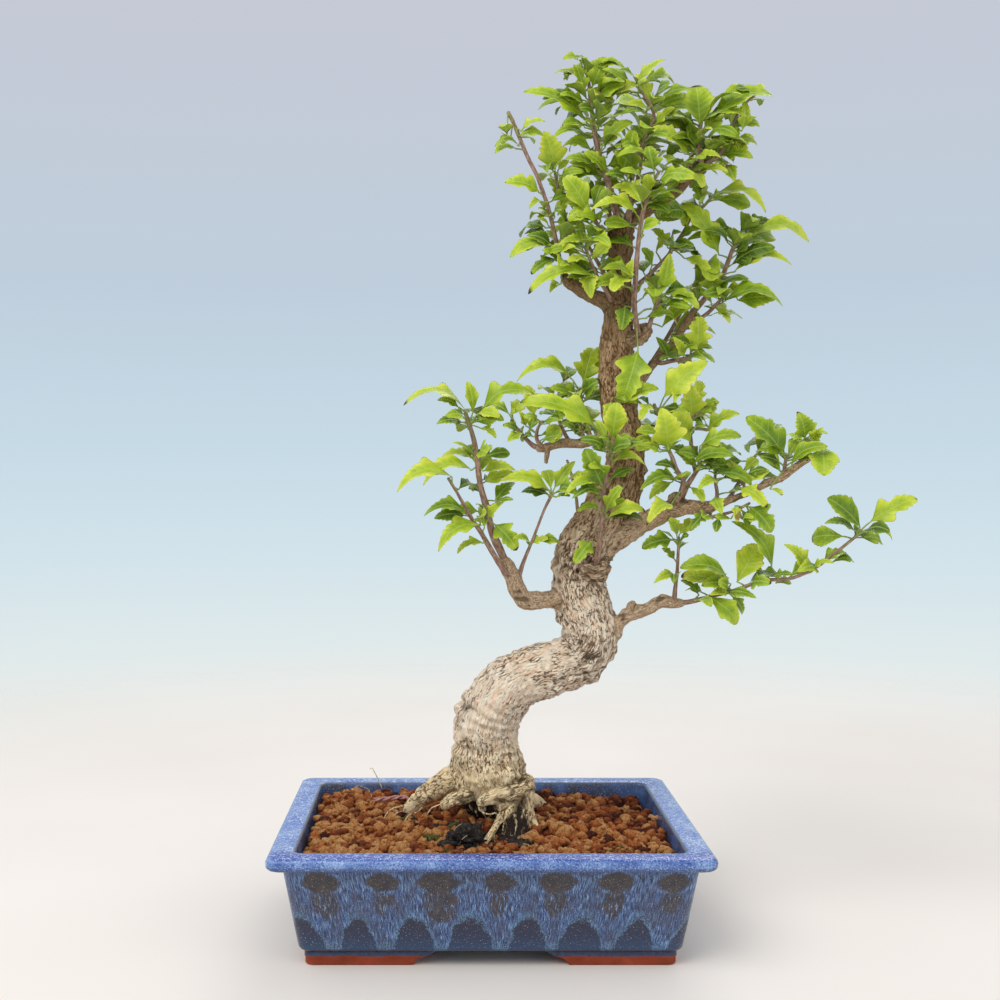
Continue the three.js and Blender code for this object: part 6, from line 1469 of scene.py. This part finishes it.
def makeSoilBed(granuleClay):
    # a closed bed just under the surface, in the darkest tone as painted shade between the granules
    (halfX, halfY), (across, deep) = soilLook["bedHalf"], soilLook["bedGrid"]
    x, y = np.meshgrid(np.linspace(-halfX, halfX, across), np.linspace(-halfY, halfY, deep), indexing="ij")
    rough = latticeNoise(np.stack([x, y, x * 0], -1).reshape(-1, 3) / 5, 12).reshape(x.shape)
    top = groundHeight(x, y) - soilLook["bedDrop"] + 0.9 * rough
    taperX, taperY = soilLook["bedTaper"]
    base = np.stack([x * taperX, y * taperY, np.full(x.shape, soilLook["bedBottom"])], -1).reshape(-1, 3)
    upper = np.stack([x, y, top], -1).reshape(-1, 3)
    face = gridFaces(across, deep, False)
    index = np.arange(x.size).reshape(x.shape)
    rim = np.concatenate([index[:, 0], index[-1, 1:], index[-2::-1, -1], index[0, -2:0:-1]])
    after = np.roll(rim, -1)
    skirt = np.stack([rim, rim + index.size, after + index.size, after], 1)
    bed = MeshParts()
    faces = np.vstack([face[:, ::-1], face + index.size, skirt])
    # the bed takes the darkest tone, as painted shade in the gaps between the granules
    bed.add(np.vstack([upper, base]), faces, 0, grainTone=0.0)
    settlePiece(bed.build("soil_bed", [granuleClay]), "fired_clay", "soil")


def makeGranules(granuleClay, stations):
    # two layers of loose granules on a jittered lattice, clear of the wood and the clod; the upper ones
    # have smaller lumps grown on them; each point's tone is lighter towards its granule's top and darker
    # below, as painted light and shade, and the lower layer is darker still, as painted shade in the gaps
    look = soilLook
    draws = np.random.default_rng(5)
    pitch = look["pitch"]
    column, row = np.meshgrid(np.arange(-19, 20), np.arange(-15, 16), indexing="ij")
    lattice = np.stack([column + 0.5 * (row % 2), row * 0.87], -1).reshape(-1, 2) * pitch
    loose = MeshParts()
    for drop, share in look["layers"]:
        upper = drop > 0
        jitter = draws.uniform(-look["jitter"], look["jitter"], lattice.shape) * pitch
        place = lattice + jitter + (0 if upper else pitch / 2)
        radii = draws.uniform(look["smallest"], look["largest"], len(place)) * share
        inside = (np.abs(place) < np.array(look["half"]) - radii[:, None]).all(1)
        place, radii = place[inside], radii[inside]
        uneven = draws.uniform(*look["uneven"], len(place))
        height = groundHeight(place[:, 0], place[:, 1]) + drop + uneven - radii * 0.3
        centres = np.column_stack([place, height])
        gaps = np.linalg.norm(centres[:, None] - stations["point"][None], axis=2) - stations["radius"][None]
        apart = (((centres - seen(*look["clodAt"])) / look["clodHalf"]) ** 2).sum(1)
        free = (gaps.min(1) > -0.5) & (apart > 0.8)
        centres, radii = centres[free], radii[free]
        middle, slopeX, slopeY, spreadOut = look["tone"]
        # the lower layer is darker by under: painted shade in the gaps between the upper granules
        light = middle - slopeX * centres[:, 0] - slopeY * centres[:, 1] - look["under"] * (not upper)
        tone = np.minimum(light + draws.normal(0, spreadOut, len(centres)), look["palest"])
        tone = tone + look["pale"][0] * (draws.uniform(size=len(centres)) > look["pale"][1])
        grown = [(centres, radii, tone)]
        for away, up, small, large in look["buds"] if upper else ():
            out = unit(draws.normal(size=centres.shape) + [0, 0, up]) * radii[:, None] * away
            grown.append((centres + out, radii * draws.uniform(small, large, len(radii)), tone + 0.03))
        centres, radii, tone = (np.concatenate(part) for part in zip(*grown))
        body, faces, each = lumps(centres, radii, draws, 0.86)
        lifted = np.clip((body[:, 2] - np.repeat(centres[:, 2], each)) / np.repeat(radii, each), -1, 1)
        # painted light and shade: each point lighter towards its granule's top and darker on its lower side
        loose.add(body, faces, 0, grainTone=np.clip(np.repeat(tone, each) + 0.28 * lifted - 0.11, 0, 1))
    settlePiece(loose.build("soil_granules", [granuleClay]), "fired_clay", "soil")


# the lump of peat: where it lies in the view, its half sizes, its grid's rows and columns, and the depth,
# fineness and seed of each kind of dent
clodLook = {"place": (464, 843, -47), "lift": 0.6, "half": (11.0, 11.5, 7.4), "rows": 44, "columns": 72,
            "dents": ((0.5, 1.7, 14), (0.5, 4.1, 15), (0.3, 9, 16))}
# crumbs of peat, then tufts of moss: each cluster's material place, its place in the view, its reach and
# height, how many lumps, and their smallest and largest radius
crumbClusters = [
    (0, (464, 843, -47), (12, 12, 6.6), 160, (0.6, 1.9)),
    (0, (517, 846, -44), (10, 12, 1.5), 90, (0.8, 2.2)), (0, (505, 832, -30), (12, 10, 2.5), 70, (0.8, 2)),
    (0, (452, 815, -20), (14, 7, 1.5), 50, (0.8, 2)),
    (0, (413, 818, 4), (12, 8, 1.0), 40, (0.7, 1.8)), (1, (449, 853, -58), (6, 6, 1.5), 34, (0.5, 1.2)),
    (1, (430, 838, -38), (8, 6, 2.6), 60, (0.6, 1.4)), (1, (455, 817, -22), (9, 5, 2.5), 50, (0.5, 1.3)),
    (1, (408, 815, 6), (9, 5, 2), 50, (0.5, 1.3)), (1, (363, 803, 20), (5, 5, 2.2), 24, (0.5, 1.1)),
    (1, (620, 851, -56), (5, 5, 2.2), 22, (0.5, 1.1))]


def crumbsOver(place, reach, count, sizes, draws):
    # small lumps scattered round a place seen in the photograph's view, on the ground or on what lies there
    scatter = draws.normal(size=(count, 3)) * [reach[0], reach[1], 0] / 2
    centres = seen(*place) + scatter
    share = (scatter[:, :2] ** 2 / (np.array(reach[:2]) / 1.2) ** 2).sum(1)
    ground = groundHeight(centres[:, 0], centres[:, 1])
    centres[:, 2] = ground + reach[2] * np.exp(-share) + draws.uniform(-0.6, 0.9, count)
    return lumps(centres, draws.uniform(*sizes, count), draws, 0.85)


def makeClod(materials):
    # a lump given by an ellipsoid's polar grid, dented by noise at three sizes, with crumbs of peat on and
    # round it and under the roots, and a little moss
    draws = np.random.default_rng(9)
    rows, columns = clodLook["rows"], clodLook["columns"]
    tilt, turn = np.meshgrid(np.linspace(0.04, math.pi - 0.04, rows), circle(columns), indexing="ij")
    out = np.stack([np.sin(tilt) * np.cos(turn), np.sin(tilt) * np.sin(turn), -np.cos(tilt)], -1)
    out = out.reshape(-1, 3)
    dent = 1
    for deep, often, seed in clodLook["dents"]:
        dent = dent + deep * latticeNoise(out * often, seed)
    body = seen(*clodLook["place"]) + [0, 0, clodLook["lift"]] + out * clodLook["half"] * dent[:, None]
    ends = [list(range(columns))[::-1], list(range((rows - 1) * columns, rows * columns))]
    parts = MeshParts()
    parts.add(body, gridFaces(rows, columns, True), 0, ends)
    for slot, *cluster in crumbClusters:
        body, faces, _ = crumbsOver(*cluster, draws)
        parts.add(body, faces, slot)
    settlePiece(parts.build("peat_lump", materials), "peat", "peat_clod")


# pale hair roots over the soil: column, row and depth of points along each, and its radius
hairRoots = [
    ([(402, 806, 16), (392, 809, 10), (386, 815, 8), (384, 822, 6), (388, 828, 4)], 0.7),
    ([(404, 811, 14), (397, 813, 8), (392, 820, 5), (389, 828, 2)], 0.5),
    ([(452, 802, -16), (444, 803, -18), (436, 806, -20), (427, 809, -21)], 0.55),
    ([(484, 803, -22), (479, 808, -24), (484, 813, -27), (492, 814, -29), (498, 810, -29)], 0.7),
    ([(498, 803, -22), (500, 811, -27), (497, 817, -30), (494, 820, -31)], 0.5),
    ([(508, 812, -26), (504, 822, -30), (503, 832, -34), (506, 842, -38)], 0.6),
    ([(516, 812, -24), (519, 826, -32), (514, 838, -38), (512, 850, -42)], 0.6),
    ([(487, 848, -50), (497, 846, -48), (506, 844, -46), (514, 847, -47)], 0.3),
    ([(528, 812, -18), (524, 826, -28), (528, 840, -34), (524, 852, -38)], 0.5),
    ([(424, 806, 6), (417, 812, 0), (409, 815, -2), (403, 822, -6)], 0.45),
    ([(470, 826, -46), (462, 824, -50), (455, 829, -54), (452, 838, -56)], 0.22),
    ([(474, 834, -50), (466, 836, -56), (459, 844, -58), (461, 853, -58)], 0.22),
    ([(507, 818, -27), (498, 826, -36), (494, 838, -42), (499, 848, -46)], 0.5),
    ([(382, 788, 62), (378, 779, 62), (374, 771, 60), (370, 764, 60)], 0.35),
    ([(352, 790, 40), (358, 786, 44), (366, 788, 48), (372, 792, 46)], 0.35)]
barkChip = [(649, 791, 20), (657, 794, 18), (665, 797, 15), (673, 799, 12)]
# how high a hair root keeps over the ground, how its last points dip into it, its end's share of the radius;
# then the chip's height over the ground, its radius, and how much and how often that varies
hairLook = {"over": 0.8, "dip": (0.4, 1.2, 2.2, 3.4), "end": 0.6, "sides": 7, "chipOver": 2.6,
            "chip": (1.5, 0.5, 1.3)}


def makeHairRoots(bark):
    # each hair root is a thin tube along a smooth line, lifted clear of the ground and ending in it; then
    # comes a chip of bark
    low = {"woodHeight": 0.12, "girth": woodLook["thinGirth"]}
    sides = hairLook["sides"]
    parts = MeshParts()
    for index, (knots, radius) in enumerate(hairRoots):
        line = smoothLine([seen(*knot) for knot in knots], 6)
        line[:, 2] = np.maximum(line[:, 2], groundHeight(line[:, 0], line[:, 1]) + hairLook["over"])
        line[-len(hairLook["dip"]):, 2] -= hairLook["dip"]
        body, faces, ends = tubeMesh(line, radius * np.linspace(1, hairLook["end"], len(line)), sides)
        run = np.repeat(np.arange(len(body) // sides) * 1.0, sides) + index * 40
        parts.add(body, faces, 0, ends, barkPlace=np.stack([body[:, 0], body[:, 1], run], 1), **low)
    line = smoothLine([seen(*knot) for knot in barkChip], 5)
    line[:, 2] = groundHeight(line[:, 0], line[:, 1]) + hairLook["chipOver"]
    radius, vary, often = hairLook["chip"]
    body, faces, ends = tubeMesh(line, radius + vary * np.sin(np.arange(len(line)) * often), 8)
    parts.add(body, faces, 0, ends, barkPlace=body, cutFace=0.85, **low)
    settlePiece(parts.build("hair_roots", [bark]), "bark")


# the twist's two ends in the view, a strand's radius and how far it runs from the twist's middle, the
# twist's height over its line and its turns; then the legs' places in the hole, heights and bent feet
wireLook = {"start": (406, 799, 47), "end": (374, 802, 47), "radius": 0.86, "apart": 0.76, "lift": 1.4,
            "turns": 1.75, "legApart": 5.0, "legY": 4.2, "legHeights": (17, 11, 7.7), "foot": (1.5, 9)}


def makeWire(coat):
    # two strands wound round each other over the ground, each with a leg down and out through a drainage
    # hole
    start, end = seen(*wireLook["start"]), seen(*wireLook["end"])
    parts = MeshParts()
    for phase, side in ((0.0, -1), (math.pi, 1)):
        share = np.linspace(0, 1, 36)[:, None]
        turn = phase + share[:, 0] * wireLook["turns"] * 2 * math.pi
        twist = start + (end - start) * share
        twist[:, 1] += np.cos(turn) * wireLook["apart"]
        twist[:, 2] += wireLook["lift"] + np.sin(turn) * wireLook["apart"]
        first, x = twist[0], side * wireLook["legApart"] - potLook["holes"]
        y, (high, low, under), (near, far) = wireLook["legY"], wireLook["legHeights"], wireLook["foot"]
        leg = smoothLine([first, first + [3, -3, -5], [(first[0] + x) / 2, first[1] * 0.6, 40],
                          [x, y + 2, 24], [x, y, high], [x, y, low], [x + side * near, y, under],
                          [x + side * far, y, under]], 6)
        line = np.vstack([twist[::-1], leg[1:]])
        body, faces, ends = tubeMesh(line, np.full(len(line), wireLook["radius"]), 9)
        parts.add(body, faces, 0, ends)
    settlePiece(parts.build("tie_wire_twisted", [coat]), "coated_wire", "tie_wire")


def dressScreens(material):
    # the kept screens take the netting's finish
    for name in ("drainage_screen_left", "drainage_screen_right"):
        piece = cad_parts[name]
        piece.data.materials.clear()
        piece.data.materials.append(material)


# camera, light and floor
sensorWidth = 36


def makeCamera():
    # level, at the measured eye; the looking line's column and row become the lens's shifts
    data = bpy.data.cameras.new("camera")
    across = view["across"]
    data.sensor_width = sensorWidth
    data.lens = view["focal"] / across * sensorWidth
    data.shift_x = (across / 2 - view["column"]) / across
    data.shift_y = -(across / 2 - view["row"]) / across
    data.clip_start = 0.01
    camera = bpy.data.objects.new("camera", data)
    camera.location = toFrame(np.array(view["eye"])).tolist()
    camera.rotation_euler = (math.pi / 2, 0, 0)
    bpy.context.scene.collection.objects.link(camera)
    bpy.context.scene.camera = camera


# the sky's colours from below the horizon to above the tree, and each lamp's place, size and power
skyStops = ((0.0, 250, 246, 240), (0.17, 244, 241, 235), (0.3, 230, 238, 237), (0.42, 212, 229, 237),
            (0.53, 200, 220, 232), (0.68, 193, 208, 222), (0.95, 199, 203, 215))
lamps = {"key": ((-1.2, -1.2, 2.0), 1.9, 35), "fill": ((1.7, -1.3, 0.9), 1.8, 8),
         "back": ((0.4, 1.6, 1.8), 1.5, 12)}


def makeSky():
    # a pale sky, ramped by how far up a direction points
    world = bpy.context.scene.world or bpy.data.worlds.new("sky")
    bpy.context.scene.world = world
    world.use_nodes = True
    tree = world.node_tree
    sky = tree.nodes["Background"]
    rise = Value(tree, addNode(tree, "ShaderNodeTexCoord").outputs["Generated"]).parts()[2]
    level = rise.through("ShaderNodeMapRange", 0, None, Value=rise, **{"From Min": -0.4, "From Max": 0.4})
    tree.links.new(level.ramp(*skyStops).socket, sky.inputs["Color"])
    sky.inputs["Strength"].default_value = 0.98
    bpy.context.scene.view_settings.view_transform = "Standard"


def makeLamps():
    # large soft lamps that look at the tree's middle
    aim = toFrame([0, 0, 260])
    for name, (place, size, power) in lamps.items():
        data = bpy.data.lights.new(name, "AREA")
        data.shape = "DISK"
        data.size = size
        data.energy = power
        lamp = bpy.data.objects.new(name, data)
        away = unit(np.array(place) - aim)
        lamp.location = place
        lamp.rotation_euler = (math.acos(away[2]), 0, math.atan2(away[1], away[0]) + math.pi / 2)
        bpy.context.scene.collection.objects.link(lamp)


# the floor fades out between two distances in metres; its rings are in millimetres
floorLook = {"fade": (1.4, 0.42), "sides": 96, "rings": (1.0, 400.0, 1500.0)}


def makeFloor():
    # a wide pale round floor just under the feet, fading out into the backdrop
    finish = Finish("floorPale", 0.7, 0.3)
    place = finish.place()
    finish.send(place.noise(3.0, 2.0).ramp((0.3, 236, 227, 214), (0.7, 241, 233, 221)), "Base Color")
    away = finish.read("ShaderNodeVectorMath", "Value", {"operation": "LENGTH"}, i0=place)
    finish.send(away.step(*floorLook["fade"]), "Alpha")
    turn = circle(floorLook["sides"])
    ring = np.stack([np.cos(turn), np.sin(turn), turn * 0], 1)
    rings = [ring * radius for radius in floorLook["rings"]]
    parts = MeshParts()
    parts.add(np.vstack(rings), gridFaces(3, len(turn), True)[:, ::-1], 0, [list(range(len(turn)))])
    parts.build("floor", [finish.material])


makeCamera()
makeSky()
makeLamps()
makeFloor()
print("camera, lights and floor made")
makePot(makeGlaze(), makeBareClay())
print("pot made")
bark = makeBark()
makeWood(bark)
makeHairRoots(bark)
print("wood made")
makeShoots([makeLeafSkin(), makePlain("petioleSkin"), makeTwig()])
print("leafy shoots made")
granuleClay = makeGranuleClay()
makeSoilBed(granuleClay)
makeGranules(granuleClay, limbStations())
makeClod([makePlain("peatBlack"), makePlain("mossGreen")])
makeWire(makePlain("wireCoat"))
dressScreens(makePlain("nettingDark"))
print("soil, clod, wire and screens made")
